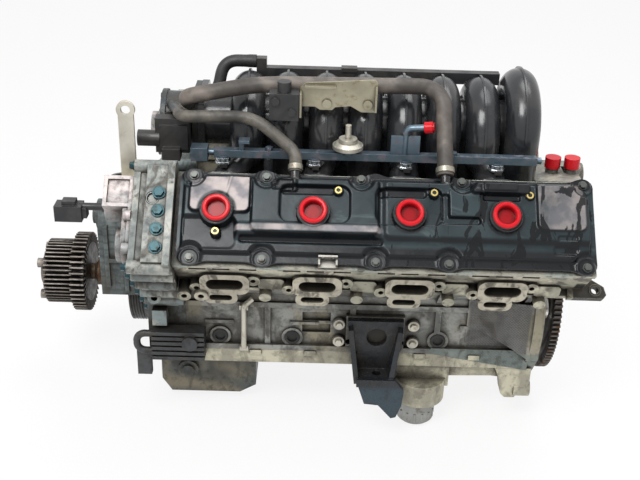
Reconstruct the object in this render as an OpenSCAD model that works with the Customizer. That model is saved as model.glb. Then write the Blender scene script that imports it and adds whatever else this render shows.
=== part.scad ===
// V8 engine with its intake, fuel rails, cam covers, fan coupling and flexplate.
// Millimetres. +X runs to the rear (flexplate end), +Z is up, -Y is the left bank.
// The origin is on the crank axis, in the plane of the block's rear face.

/* [Cylinder layout] */
// Distance between neighbouring cylinder axes of one bank
bore_pitch = 120; // [112:1:140]
// Number of cylinders in each bank
bank_cylinders = 4; // [3:1:5]
// Included angle between the two banks, in degrees
bank_angle = 90; // [84:1:94]
// Rearward offset of the right bank
bank_stagger = 18; // [0:1:24]
// From the rear face to the last cylinder axis of the left bank
rear_land = 85; // [80:1:100]
// From the first cylinder axis of the left bank to the front face
front_land = 55; // [52:1:70]

/* [Block] */
// Crank axis to the cylinder head face, along the cylinder
deck_height = 172; // [165:1:206]
// Half width of a bank at the deck
bank_half = 56; // [50:1:58]
// Half width of the crankcase skirt
skirt_half = 112; // [106:1:118]
// Depth of the skirt below the crank axis
skirt_depth = 54; // [50:1:64]
// Radius of the bell housing flange
bell_r = 136; // [134:1:160]
// Thickness of the bell housing flange
bell_t = 14; // [10:1:20]
// Radius of the crankshaft's main journals
main_r = 30; // [26:1:36]

/* [Cylinder head] */
// Head height, from gasket to cam cover
head_h = 86; // [80:1:104]
// Half width of the head
head_half = 60; // [60:1:66]
// Thickness of the head gasket
gasket_t = 1.2; // [0.8:0.1:2]
// How far the head reaches behind the rear face
head_overhang = 31; // [16:1:36]
// How much shorter the right head and its cover are at the rear
far_step = 18; // [10:1:24]
// Exhaust port width
port_w = 48; // [38:1:54]
// Exhaust port height
port_h = 20; // [16:1:24]
// Upward tilt of the exhaust flange from the bank's square, in degrees
port_tilt = 25; // [15:1:30]

/* [Cam cover] */
// Height of the cam cover's deck over the head
cover_h = 19; // [16:1:26]
// Height of a plug tube over the cover's deck
tube_h = 12; // [8:1:18]
// Bore radius of a plug tube
well_r = 14; // [12:0.5:17]

/* [Intake] */
// Height of the rearmost arch's centre over the crank axis
arch_z = 253; // [250:1:270]
// How much lower the other arches stand
arch_step = 14; // [0:1:16]
// Distance between neighbouring arches
runner_pitch = 53; // [50:1:60]
// Centreline radius of the runner arches
arch_r = 54; // [52:1:60]
// Outer radius of a runner
runner_r = 23.5; // [19:0.5:26]
// Bore radius of the throttle body
throttle_r = 30; // [25:1:32]

/* [Front drive] */
// Thickness of the timing case
timing_t = 54; // [46:1:64]
// Radius of the crankshaft damper
damper_r = 70; // [58:1:72]
// Radius of the fan coupling over its rear fins
fan_r = 59; // [50:1:70]
// Number of cooling fins around the fan coupling
fan_fins = 44; // [30:2:52]

/* [Rear drive] */
// Radius of the ring gear over its teeth
ring_r = 125; // [112:1:128]
// Number of ring gear teeth
ring_teeth = 100; // [80:2:120]

/* [Oil pan] */
// Depth of the alloy upper pan below the skirt
upper_pan_h = 22; // [18:1:30]
// Depth of the front sump below the crank axis
sump_depth = 158; // [145:1:175]

/* [Hidden] */
$fn = 48;

// Clearances: running fit, assembly gap between parts
run_gap = 0.05;
seat_gap = 0.25;

// Places along the crank
front_x = -(rear_land + (bank_cylinders - 1) * bore_pitch + front_land);
timing_x = front_x - timing_t;
damper_x = timing_x - 3;
damper_t = 32;
hub_x = damper_x - damper_t;

// Places along a cylinder
half_angle = bank_angle / 2;
head_s = deck_height + gasket_t;
cover_s = head_s + head_h;
deck_s = cover_s + cover_h;
tube_s = deck_s + tube_h;
plug_y = 4;

// Rear end of a bank's head
function head_rear(far) = head_overhang - (far ? far_step : 0);

// Places up from the crank
pan_z = -skirt_depth;
upper_pan_z = pan_z - upper_pan_h;
skirt_s = (skirt_half - bank_half * cos(half_angle)) / sin(half_angle);
skirt_top = skirt_s * cos(half_angle) - bank_half * sin(half_angle);
valley_z = 100;
valley_half = (valley_z - bank_half * sin(half_angle)) * tan(half_angle) - bank_half * cos(half_angle);

// Axis of cylinder i of a bank, counted from the front
cylinders = [for (i = [0 : bank_cylinders - 1]) i];
function cylinder_x(i, far) = -rear_land - (bank_cylinders - 1 - i) * bore_pitch
    + (far ? bank_stagger : 0);
// Place of runner i of a bank in the row of arches, counted from the rear
function arch_place(i, far) = 2 * (bank_cylinders - 1 - i) + (far ? 0 : 1);
function runner_x(i, far) = -rear_land + bank_stagger + 21 - arch_place(i, far) * runner_pitch;
function runner_z(i, far) = arch_z - (arch_place(i, far) > 0 ? arch_step : 0);
// A point of the left bank, from its height along the cylinder and distance outward
function left_point(x, s, t) = [x, -(s * sin(half_angle) + t * cos(half_angle)),
    s * cos(half_angle) - t * sin(half_angle)];

// Colours
alloy = [0.72, 0.69, 0.62];
grey_alloy = [0.50, 0.50, 0.48];
dark_steel = [0.16, 0.16, 0.17];
black_plastic = [0.07, 0.08, 0.09];
bolt_steel = [0.55, 0.58, 0.60];
cap_red = [0.80, 0.05, 0.07];

// ---------------------------------------------------------------- helpers

function unit(v) = v / norm(v);
function side_of(z) = unit(cross(abs(z.z) < 0.9 ? [0, 0, 1] : [1, 0, 0], z));

// Puts local X and Z on the given axes, at a point
module frame_at(p, x, z) {
    y = cross(z, x);
    multmatrix([[x.x, y.x, z.x, p.x], [x.y, y.y, z.y, p.y], [x.z, y.z, z.z, p.z], [0, 0, 0, 1]])
        children();
}

// A round bar from a to b
module bar(a, b, r) {
    z = unit(b - a);
    frame_at(a, side_of(z), z) cylinder(r = r, h = norm(b - a));
}

// The bend of a pipe at corner b, between a and c
module bend(a, b, c, radius, r) {
    u = unit(a - b);
    v = unit(c - b);
    half = acos(u * v) / 2;
    p = b + u * radius / tan(half);
    q = b + v * radius / tan(half);
    centre = b + unit(u + v) * radius / sin(half);
    frame_at(centre, unit(p - centre), unit(cross(p - centre, q - centre)))
        rotate_extrude(angle = 180 - 2 * half) translate([radius, 0]) circle(r);
}

// A pipe through a list of corners, with one bend radius
module pipe(points, radius, r) {
    last = len(points) - 1;
    function turn(i) = acos(unit(points[i - 1] - points[i]) * unit(points[i + 1] - points[i]));
    function cut(i) = i == 0 || i == last ? 0 : radius / tan(turn(i) / 2);
    for (i = [0 : last - 1]) {
        d = unit(points[i + 1] - points[i]);
        a = points[i] + d * (cut(i) - (i > 0 ? 1 : 0));
        b = points[i + 1] - d * (cut(i + 1) - (i + 1 < last ? 1 : 0));
        bar(a, b, r);
    }
    // A bend is a hair thicker, so that the straights run into it
    for (i = [1 : last - 1]) bend(points[i - 1], points[i], points[i + 1], radius, r + 0.15);
}

// An outline in Y and Z, drawn out along X
module along_x(x0, length) {
    translate([x0, 0, 0]) rotate([90, 0, 90]) linear_extrude(length) children();
}

// An outline in X and Z, drawn out towards -Y from y0
module along_y(y0, length) {
    translate([0, y0, 0]) rotate([90, 0, 0]) linear_extrude(length) children();
}

// A cylinder along X, Y or towards -Y
module x_cylinder(p, r, h) translate(p) rotate([0, 90, 0]) cylinder(r = r, h = h);
module y_cylinder(p, r, h) translate(p) rotate([90, 0, 0]) cylinder(r = r, h = h);

// A box between two corners
module box(a, b) translate(a) cube(b - a);

// A rounded rectangle about the origin
module rounded(w, h, r) {
    square([w - 2 * r, h], center = true);
    square([w, h - 2 * r], center = true);
    for (i = [-1, 1], j = [-1, 1]) translate([i * (w / 2 - r), j * (h / 2 - r)]) circle(r);
}

// A hexagon bolt head with its washer face on Z = 0
module hex_head(r, h) {
    cylinder(r = r * 1.3, h = h * 0.3);
    cylinder(r = r, h = h, $fn = 6);
}

// Both banks' outline in Y and Z, from s0 to s1 along the cylinders
module bank_outline(half, s0, s1) {
    for (m = [0, 1]) mirror([m, 0]) rotate(half_angle)
        translate([-half, s0]) square([2 * half, s1 - s0]);
}

// Left bank frame: Z runs up the cylinders and Y towards the valley
module left_bank() rotate([half_angle, 0, 0]) children();
// Right bank frame: the left one mirrored across the engine
module right_bank() mirror([0, 1, 0]) left_bank() children();

// ---------------------------------------------------------------- block

bell_bolts = 8;
bell_hole_r = 5;
bell_pcd_r = bell_r - 9;
mount_holes_x = [-270, -196];
wall_y = -skirt_half;

// Half of the block's side: rails, ribs, bosses and pads on one wall
module side_wall_detail() {
    // Pan rail and upper rail
    box([front_x, wall_y - 7, pan_z], [0, wall_y + 4, pan_z + 8]);
    box([front_x, wall_y - 4, 14], [-14, wall_y + 4, 22]);
    // Bulkhead ribs between the cylinders, up the wall and the bank
    for (i = [0 : bank_cylinders]) {
        x = cylinder_x(i, false) - bore_pitch / 2;
        if (x > front_x + 12) box([x - 4, wall_y - 4, pan_z], [x + 4, wall_y + 4, 22]);
        if (x > front_x + 12) left_bank()
            box([x - 4, -bank_half - 5, skirt_s - 8], [x + 4, -bank_half + 4, deck_height - 4]);
    }
    // Cast pockets between two walls
    for (i = [0 : bank_cylinders - 1]) {
        x = cylinder_x(i, false) - 8;
        box([x - 20, wall_y - 3, -14], [x + 20, wall_y + 4, -9]);
    }
    // Water jacket bosses along the bank
    left_bank() for (i = cylinders)
        translate([cylinder_x(i, false), -bank_half + 4, (skirt_s + deck_height) / 2])
            rotate([90, 0, 0]) cylinder(r = 13, h = 9);
}

// Web from the wall out to the bell flange, cut away below, over a rail that slopes down with the pan
module bell_gusset() {
    difference() {
        linear_extrude(88) polygon([[-104, -skirt_half + 4], [-104, -skirt_half - 4],
            [-bell_t + 2, -bell_r + 6], [-bell_t + 2, -skirt_half + 4]]);
        along_y(-skirt_half - 0.7, 40) polygon([[-110, -1], [-110, 46], [-86, 39], [-60, 26],
            [-36, 12], [-bell_t - 3, -1]]);
    }
}

module sloping_rail(gap) {
    along_y(-skirt_half + 4 + gap, 11 + 2 * gap) polygon([[-152, pan_z + 9], [-152 - gap, pan_z - gap],
        [-bell_t + 2, pan_z - 24 - gap], [-bell_t + 2, pan_z + 9]]);
}

module cylinder_block() {
    color(grey_alloy) difference() {
        union() {
            along_x(front_x, -front_x) {
                bank_outline(bank_half, 0, deck_height);
                translate([-skirt_half, pan_z]) square([2 * skirt_half, skirt_depth + skirt_top + 1]);
                translate([-valley_half - 2, 60]) square([2 * valley_half + 4, valley_z - 60]);
            }
            // Head rail of each deck
            along_x(front_x, -front_x) bank_outline(bank_half + 3, deck_height - 10, deck_height);
            // Bell housing flange
            x_cylinder([-bell_t, 0, 0], bell_r, bell_t);
            for (a = [0 : 360 / bell_bolts : 359]) rotate([a + 22.5, 0, 0])
                x_cylinder([-bell_t - 3, 0, bell_pcd_r], 12, bell_t + 3);
            for (m = [0, 1]) mirror([0, m, 0]) {
                side_wall_detail();
                translate([0, 0, pan_z + 2.5]) bell_gusset();
                sloping_rail(0);
                // Engine mount pads
                for (x = [-284, -179], z = [-9, -37]) y_cylinder([x, wall_y + 4, z], 9, 10);
                // Core plug bosses
                for (p = core_plug_places) y_cylinder([p.x, wall_y + 4, p.y], 15, 8);
                // Bracket pad
                box([-274, wall_y - 9, -44], [-192, wall_y + 4, 6]);
            }
        }
        // Main bearing bore
        x_cylinder([front_x - 1, 0, 0], main_r + run_gap, -front_x + 2);
        // Bell housing bolt holes
        for (a = [0 : 360 / bell_bolts : 359]) rotate([a + 22.5, 0, 0])
            x_cylinder([-bell_t - 4, 0, bell_pcd_r], bell_hole_r, bell_t + 6);
        for (m = [0, 1]) mirror([0, m, 0]) {
            for (p = core_plug_places) y_cylinder([p.x, wall_y + 2, p.y], 11, 10);
            // Cast pockets in the wall
            for (z = [-27, -8]) box([-336, wall_y - 6, z], [-296, wall_y + 6, z + 14]);
            for (x = mount_holes_x) y_cylinder([x, wall_y + 16, -36], 4.2, 30);
        }
        // Cylinder bores' tops
        for (m = [0, 1]) mirror([0, m, 0]) left_bank() for (i = cylinders)
            translate([cylinder_x(i, m == 1), 0, deck_height - 30]) cylinder(r = 42, h = 31);
    }
}

core_plug_places = [[-452, -34], [-350, -34], [-143, -34]];

// Black sealed plugs pressed into the block's side
module core_plugs() {
    color(black_plastic) for (m = [0, 1]) mirror([0, m, 0]) for (p = core_plug_places)
        difference() {
            y_cylinder([p.x, wall_y + 2 - seat_gap, p.y], 11 - seat_gap, 7);
            y_cylinder([p.x, wall_y - 2, p.y], 7, 10);
        }
}

// Bolts on the engine mount pads of the block
module block_bolts() {
    color([0.80, 0.80, 0.76]) for (m = [0, 1]) mirror([0, m, 0])
        for (x = [-284, -179], z = [-9, -37])
            translate([x, wall_y - 6 - seat_gap, z]) rotate([90, 0, 0]) {
                cylinder(r = 8, h = 2);
                cylinder(r = 5, h = 6, $fn = 6);
            }
}

// ---------------------------------------------------------------- crank and rear drive

flange_r = 40;
pilot_r = 10;
nose_r = 22;
flex_x = 16;
ring_x = 15;

module crankshaft() {
    color([0.45, 0.44, 0.43]) difference() {
        union() {
            x_cylinder([front_x, 0, 0], main_r, -front_x);
            x_cylinder([seat_gap, 0, 0], flange_r, flex_x - seat_gap);
            x_cylinder([-1, 0, 0], main_r, 2);
            x_cylinder([hub_x + 4, 0, 0], nose_r, front_x - hub_x - 3);
            x_cylinder([flex_x - 1, 0, 0], 20, 5);
        }
        x_cylinder([-10, 0, 0], pilot_r, 50);
        x_cylinder([hub_x, 0, 0], 7.2, 30);
        for (a = [0 : 60 : 359]) rotate([a, 0, 0]) x_cylinder([2, 0, 30], 4.2, 20);
    }
}

module rear_seal_retainer() {
    color(alloy) difference() {
        union() {
            x_cylinder([0, 0, 0], flange_r + 14, 9);
            for (a = [30 : 60 : 359]) rotate([a, 0, 0]) x_cylinder([0, 0, flange_r + 14], 8, 7);
        }
        x_cylinder([-1, 0, 0], flange_r + run_gap, 12);
    }
}

module flexplate() {
    color([0.40, 0.40, 0.40]) difference() {
        union() {
            x_cylinder([flex_x, 0, 0], 96, 4);
            x_cylinder([flex_x + 4, 0, 0], ring_r - 14, 3);
            x_cylinder([flex_x, 0, 0], 48, 6);
        }
        x_cylinder([flex_x - 1, 0, 0], 20 + seat_gap, 20);
        for (a = [0 : 60 : 359]) rotate([a, 0, 0]) x_cylinder([flex_x - 1, 0, 30], 4.6, 20);
        for (a = [30 : 60 : 359]) rotate([a, 0, 0]) x_cylinder([flex_x - 1, 0, 72], 15, 20);
        for (a = [0 : 90 : 359]) rotate([a, 0, 0]) x_cylinder([flex_x - 1, 0, 98], 5, 20);
    }
}

module ring_gear() {
    tooth = 360 / ring_teeth;
    root_r = ring_r - 4;
    half_root = 360 / ring_teeth * 0.32;
    half_tip = 360 / ring_teeth * 0.16;
    color([0.36, 0.34, 0.31]) translate([ring_x, 0, 0]) rotate([90, 0, 90]) linear_extrude(11)
        difference() {
            polygon([for (i = [0 : ring_teeth - 1], c = [[-half_root, root_r], [-half_tip, ring_r],
                [half_tip, ring_r], [half_root, root_r]])
                c[1] * [cos(i * tooth + c[0]), sin(i * tooth + c[0])]]);
            circle(ring_r - 14 + seat_gap, $fn = 96);
        }
}

module flexplate_bolts() {
    color(bolt_steel) for (a = [0 : 60 : 359]) rotate([a, 0, 0])
        translate([flex_x + 7 + seat_gap, 0, 30]) rotate([0, 90, 0]) {
            hex_head(7, 6);
            translate([0, 0, -16]) cylinder(r = 4, h = 17);
        }
}

// ---------------------------------------------------------------- front drive

module crank_damper() {
    color(dark_steel) translate([hub_x, 0, 0]) rotate([0, 90, 0]) difference() {
        rotate_extrude() difference() {
            translate([nose_r + seat_gap, 0]) square([damper_r - nose_r - seat_gap, damper_t]);
            // Belt grooves around the rim
            for (k = [0 : 4]) translate([damper_r, 4 + k * 4]) rotate(45) square(2.4, center = true);
            // Rubber ring between hub and rim, both faces
            translate([damper_r - 16, -1]) square([4, 5]);
            translate([damper_r - 16, damper_t - 4]) square([4, 5]);
            // Dished web
            translate([32, damper_t - 8]) square([damper_r - 52, 9]);
        }
        for (a = [0 : 120 : 359]) rotate(a) translate([(damper_r - 20 + 32) / 2, 0, -1])
            cylinder(r = 5, h = damper_t + 2);
    }
}

module crank_nose_bolt() {
    color(bolt_steel) translate([hub_x + 4 - seat_gap, 0, 0]) rotate([0, -90, 0]) {
        cylinder(r = 15, h = 3);
        cylinder(r = 12, h = 9, $fn = 6);
        translate([0, 0, -20]) cylinder(r = 7, h = 21);
    }
}

hub_r = 30;
hub_len = 66;
fan_x = hub_x - seat_gap - hub_len;

// Bell-shaped hub bolted to the damper, with a stub shaft for the coupling
module fan_hub() {
    color([0.34, 0.25, 0.20]) translate([hub_x - seat_gap, 0, 0]) rotate([0, -90, 0]) difference() {
        union() {
            rotate_extrude() polygon([[0, 12], [0, hub_len + 20], [12, hub_len + 20],
                [12, hub_len - 6], [20, hub_len - 12], [24, 30], [hub_r + 4, 8], [hub_r + 14, 6],
                [hub_r + 14, 0], [18, 0], [18, 12]]);
            // Stiffening ribs around the bell
            for (a = [0 : 30 : 359]) rotate(a) translate([19.5, -2, 3]) cube([11, 4, hub_len - 28]);
            for (k = [0 : 3]) translate([0, 0, 16 + 9 * k]) cylinder(r = 27.5, h = 3);
        }
        for (a = [0 : 60 : 359]) rotate(a + 15) translate([hub_r + 9, 0, -1]) cylinder(r = 3, h = 10);
    }
}

coupling_t = 72;
rear_fin_t = 21;
front_fin_r = 48;

// Viscous coupling: a drum with two rings of radial fins, turning on the hub's shaft
module fan_coupling() {
    fin_a = 360 / fan_fins;
    color([0.47, 0.44, 0.40]) translate([fan_x, 0, 0]) rotate([0, -90, 0]) difference() {
        union() {
            cylinder(r = fan_r - 15, h = rear_fin_t);
            translate([0, 0, 2]) cylinder(r = fan_r - 8, h = 4);
            cylinder(r = front_fin_r - 13, h = coupling_t - 6);
            cylinder(r = 20, h = coupling_t);
            // Rear fins
            for (i = [0 : fan_fins - 1]) rotate(i * fin_a)
                translate([fan_r - 20, -1.1, 0]) cube([20, 2.2, rear_fin_t]);
            // Front fins, stepped in
            for (i = [0 : fan_fins - 1]) rotate((i + 0.5) * fin_a)
                translate([18, -0.95, rear_fin_t - 1])
                    cube([front_fin_r - 18, 1.9, coupling_t - rear_fin_t - 9]);
            // Fan blade seats
            for (a = [0 : 90 : 359]) rotate(a + 45) translate([front_fin_r - 11, 0, coupling_t - 14])
                cylinder(r = 7, h = 14);
        }
        // Bearing bore on the stub shaft
        translate([0, 0, -1]) cylinder(r = 12 + run_gap, h = 24);
        for (a = [0 : 90 : 359]) rotate(a + 45) translate([front_fin_r - 11, 0, coupling_t - 12])
            cylinder(r = 3.3, h = 13);
    }
}

case_half = 64;
case_s = cover_s + 15;

module timing_case() {
    color(alloy) difference() {
        union() {
            along_x(timing_x, timing_t - seat_gap) {
                bank_outline(case_half, 0, case_s - 12);
                translate([-skirt_half, upper_pan_z]) square([2 * skirt_half, skirt_top - upper_pan_z]);
                translate([-valley_half - 8, 60]) square([2 * valley_half + 16, valley_z - 50]);
            }
            // Higher rear part of the lobes, which carries the covers' front ends
            along_x(timing_x + 18, timing_t - 18 - seat_gap) bank_outline(case_half, 60, case_s);
            // Flange against the block and heads
            along_x(front_x - 9, 9 - seat_gap) bank_outline(case_half + 5, 0, case_s + 4);
            // Front flange with its raised rim
            along_x(timing_x, 8) bank_outline(case_half + 3, 60, case_s - 10);
            // Bolt bosses down both sides
            for (m = [0, 1]) mirror([0, m, 0]) left_bank() for (b = case_bolts)
                translate([timing_x, b.y * (case_half + 3), b.x]) rotate([0, 90, 0])
                    cylinder(r = 9, h = timing_t - seat_gap);
            for (m = [0, 1]) mirror([0, m, 0]) {
                // Cast lumps and lugs low on each side
                box([timing_x + 4, -skirt_half - 16, 20], [front_x - 8, -skirt_half + 6, 34]);
                box([timing_x + 10, -skirt_half - 24, -8], [timing_x + 30, -skirt_half + 6, 16]);
                y_cylinder([timing_x + 16, -skirt_half, 42], 9, 34);
                // Ribs across the outer face of each lobe
                left_bank() for (s = [120, 160, 235])
                    box([timing_x + 4, -case_half - 6, s], [front_x - 6, -case_half + 4, s + 6]);
                left_bank() box([timing_x + 22, -case_half - 5, 70],
                    [timing_x + 28, -case_half + 4, case_s - 8]);
            }
            // Seal boss around the crank nose
            x_cylinder([timing_x - 2.5, 0, 0], nose_r + 14, 5);
        }
        x_cylinder([timing_x - 5, 0, 0], nose_r + run_gap, timing_t + 10);
        x_cylinder([timing_x - 5, 0, 0], nose_r + 6, 6);
        for (m = [0, 1]) mirror([0, m, 0]) {
            y_cylinder([timing_x + 16, -skirt_half - 10, 42], 4.5, 40);
            // Inspection pockets on the lobes' outer faces
            left_bank() box([timing_x + 32, -case_half - 1, 176], [front_x - 10, -case_half + 5, 228]);
            left_bank() box([timing_x + 8, -case_half - 1, 176], [timing_x + 18, -case_half + 5, 228]);
        }
        // Cam sensor pad's bore
        for (m = [0, 1]) mirror([0, m, 0]) left_bank()
            translate([timing_x + 27, 20, case_s - 8]) cylinder(r = 9, h = 20);
    }
}

// Bolts of the case, as [distance along the bank, side of the bank]
case_bolts = [for (k = [-190, -150, -110, -70, -32, 2]) [cover_s + k, -1],
    for (k = [-110, -70, 2]) [cover_s + k, 1]];

// Flange bolts of the timing case
module timing_case_bolts() {
    color([0.42, 0.47, 0.50]) for (m = [0, 1]) mirror([0, m, 0]) left_bank()
        for (b = case_bolts)
            translate([timing_x - seat_gap, b.y * (case_half + 4), b.x]) rotate([0, -90, 0]) hex_head(4.8, 7);
    // Bolts on top of the left lobe
    color([0.42, 0.47, 0.50]) left_bank() for (y = [-45, -21, 3, 27])
        translate([front_x - 19, y, case_s + seat_gap]) hex_head(6.5, 6);
}

// One bank's cam drive cover on the front of the timing case
drive_cover_t = 38;

module cam_drive_cover(far) {
    x = timing_x - seat_gap;
    color([0.62, 0.56, 0.50]) difference() {
        union() {
            translate([x, 0, 0]) rotate([0, -90, 0]) {
                // Two lobes over the cam gears, joined by a flat panel
                for (t = [-23, 23]) translate([cover_s - 32, -t, 0]) cylinder(r = 31, h = 12);
                translate([cover_s - 63, -23, 0]) cube([62, 46, 12]);
                translate([cover_s - 32, 28, 0]) cylinder(r = 24, h = far ? 22 : drive_cover_t);
                translate([cover_s - 32, -28, 0]) cylinder(r = 22, h = 20);
                // Rim
                for (t = [-23, 23]) translate([cover_s - 32, -t, 0]) cylinder(r = 34, h = 5);
                translate([cover_s - 66, -23, 0]) cube([68, 46, 5]);
            }
            if (!far) box([x - drive_cover_t, 12, cover_s - 58], [x, 54, cover_s + 2]);
            for (p = [[-60, -42], [-60, 42], [-2, -42], [2, 0], [-66, 0]])
                x_cylinder([x - 9, p.y, cover_s + p.x], 7, 9);
        }
        // Framed panel on top, and a dished lobe
        if (!far) box([x - drive_cover_t + 5, 17, cover_s - 1], [x - 5, 49, cover_s + 3]);
        translate([x - 24, -28, cover_s - 32]) rotate([0, 90, 0]) cylinder(r = 15, h = 7);
        if (far) translate([x - 24, 28, cover_s - 32]) rotate([0, 90, 0]) cylinder(r = 16, h = 5);
    }
}

module left_cam_drive_cover() left_bank() cam_drive_cover(false);
module right_cam_drive_cover() right_bank() cam_drive_cover(true);

// Coolant pump housing: a casting in front of the timing case, arched over the damper
module pump_housing() {
    x0 = timing_x - 70;
    x1 = timing_x - seat_gap;
    color([0.42, 0.47, 0.44]) difference() {
        union() {
            along_x(x0, x1 - x0) polygon([[-78, 6], [-78, 110], [-62, 136], [20, 136], [44, 112],
                [44, 78], [-40, 78], [-60, 6]]);
            // Flanges and ribs
            along_x(x1 - 8, 8) polygon([[-88, 0], [-88, 116], [-66, 142], [24, 142], [56, 116],
                [56, 78], [-40, 78], [-72, 0]]);
            box([x0 + 8, -82, 20], [x0 + 14, -70, 116]);
            box([x0 + 34, -82, 12], [x0 + 40, -70, 116]);
            box([x0 + 8, -82, 60], [x1 - 4, -70, 66]);
            // Pump snout over the front face
            x_cylinder([x0 - 10, -20, 106], 22, 14);
            x_cylinder([x0 - 16, -20, 106], 14, 20);
            // Inlet neck on top
            translate([x0 + 24, -10, 130]) cylinder(r = 17, h = 30);
            translate([x0 + 24, -10, 154]) cylinder(r = 19, h = 4);
        }
        // Clearance around the damper and the hub
        x_cylinder([x0 - 20, 0, 0], damper_r + 3, 120);
        translate([x0 + 24, -10, 128]) cylinder(r = 13, h = 40);
    }
}

// Cam sensor's plug, on a tube carried by the left cam drive cover
module cam_sensor() {
    color(black_plastic) {
        box([timing_x - 112, -134, 148], [timing_x - 76, -112, 170]);
        box([timing_x - 102, -130, 164], [timing_x - 84, -116, 176]);
        box([timing_x - 78, -130, 152], [timing_x - 70, -116, 166]);
        x_cylinder([timing_x - 80, -122, 166], 5, 80 - drive_cover_t - 2 * seat_gap);
        x_cylinder([timing_x - 50, -122, 166], 7, 50 - drive_cover_t - 2 * seat_gap);
    }
}

// Lifting strap bolted to the valley side of the left cam drive cover
module lifting_strap() {
    x = timing_x - 14;
    y = -106;
    color([0.82, 0.78, 0.68]) difference() {
        union() {
            along_y(y, 5) {
                translate([x - 10, 192]) square([20, 106]);
                translate([x, 298]) circle(12);
            }
            // Foot on the cover, and its gusset
            left_bank() box([x - 16, 54 + seat_gap, cover_s - 54], [x + 8.7, 60, cover_s - 14]);
        }
        y_cylinder([x, y + 1, 298], 6, 8);
        left_bank() translate([x, 50, cover_s - 24]) rotate([-90, 0, 0]) cylinder(r = 3.5, h = 20);
    }
}

// ---------------------------------------------------------------- heads

port_t = 72;
port_s = head_s + 33;

// Frame on exhaust port i's face: X along the crank, Y up the face, Z out of the port
module port_face(x) {
    translate([x, -port_t, port_s]) rotate([90 - port_tilt, 0, 0]) children();
}

module cylinder_head(far) {
    rear = head_rear(far);
    color(alloy) difference() {
        union() {
            box([front_x, -head_half, head_s], [rear, head_half, cover_s - seat_gap]);
            // Rim under the cam cover
            box([front_x, -head_half - 3, cover_s - 9], [rear, head_half + 2, cover_s - seat_gap]);
            for (i = cylinders) {
                x = cylinder_x(i, far) + 8;
                port_face(x) {
                    translate([0, 0, -42]) linear_extrude(42) rounded(port_w + 16, port_h + 18, 12);
                    translate([-6, -26, -36]) linear_extrude(36) rounded(44, 24, 10);
                    // Stud bosses beside the port
                    for (k = [-1, 1]) translate([k * (port_w / 2 + 13), k * 8 - 2, -40])
                        cylinder(r = 9, h = 38);
                }
                // Web and lug between ports
                port_face(x + bore_pitch / 2) translate([0, -6, -34]) linear_extrude(26) rounded(34, 20, 6);
                port_face(x + bore_pitch / 2 - 8) translate([0, -24, -34]) cylinder(r = 8, h = 34);
            }
            // Low flange along the exhaust side
            box([front_x + 6, -head_half - 9, head_s], [rear - 10, -head_half + 4, head_s + 12]);
            // Front lugs
            for (x = front_lugs) port_face(x) translate([0, -20, -30]) cylinder(r = 9, h = 34);
            // Rear lug for the gearbox harness bracket
            translate([rear, -head_half, head_s + 6]) linear_extrude(12) polygon([[-20, -13], [27, -13],
                [31, -8], [28, 3], [10, 14], [-20, 14]]);
            translate([rear + 16, -head_half - 2, head_s + 6]) cylinder(r = 8, h = 14);
        }
        // Nothing below the deck plane near the block
        translate([front_x - 20, -66, head_s - 60]) cube([head_len_all, 140, 60]);
        translate([front_x - 20, -120, head_s - 66]) cube([head_len_all, 140, 60]);
        for (i = cylinders) {
            x = cylinder_x(i, far) + 8;
            // Exhaust port, and the small service port under it
            port_face(x) translate([0, 0, -40]) linear_extrude(50) rounded(port_w, port_h, port_h / 2 - 0.5);
            port_face(x) translate([-6, -26, -14]) linear_extrude(20) rounded(30, 11, 5);
            for (k = [-1, 1]) port_face(x) translate([k * (port_w / 2 + 13), k * 8 - 2, -24])
                cylinder(r = 3.5, h = 40);
            // Intake port on the valley side
            translate([cylinder_x(i, far), head_half - 30, head_s + 40]) rotate([-90, 0, 0])
                linear_extrude(50) rounded(40, 26, 10);
            // Cast windows above the ports
            for (dx = [-44, -14, 20]) box([x + dx, -head_half - 8, cover_s - 26],
                [x + dx + 22, -head_half + 4, cover_s - 13]);
            // Spark plug well
            translate([cylinder_x(i, far), plug_y, cover_s - 50]) cylinder(r = 9.5, h = 60);
        }
        for (x = front_lugs) port_face(x) translate([0, -20, -20]) cylinder(r = 4, h = 34);
        translate([rear + 16, -head_half - 2, head_s]) cylinder(r = 5, h = 40);
    }
}

front_lugs = [front_x + 10, front_x + 32];
head_len_all = head_overhang - front_x + 100;

module left_cylinder_head() left_bank() cylinder_head(false);
module right_cylinder_head() right_bank() cylinder_head(true);

module head_gasket(far) {
    g = 0.1;
    color([0.30, 0.32, 0.34]) difference() {
        box([front_x, -bank_half - 2, deck_height + g], [-0.5, bank_half + 1, head_s - g]);
        for (i = cylinders) translate([cylinder_x(i, far), 0, deck_height - 1]) cylinder(r = 42, h = 4);
    }
}

module left_head_gasket() left_bank() head_gasket(false);
module right_head_gasket() right_bank() head_gasket(true);

// ---------------------------------------------------------------- cam covers

cover_x0 = front_x + 6;
// Places of a cover's bolts: one at each end and one between each two plugs, on both edges
cover_bolt_y = [-55, 54];
outer_shift = [-2, 19, -10];
inner_shift = [0, 0, 8];
function between(i, far, y) = cylinder_x(i, far) + bore_pitch / 2
    + (y < 0 ? outer_shift : inner_shift)[i % 3];
function cover_bolt_places(far) = [for (y = cover_bolt_y) each concat([[cover_x0 + 17, y]],
    [for (i = [0 : bank_cylinders - 2]) [between(i, far, y), y]], [[head_rear(far) - 14, y]])];

// A raised or sunk pad on the cover's deck, drawn about its middle
module deck_pad(x0, x1, y0, y1, z, h, r) {
    translate([(x0 + x1) / 2, (y0 + y1) / 2, z]) linear_extrude(h) rounded(x1 - x0, y1 - y0, r);
}

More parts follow.
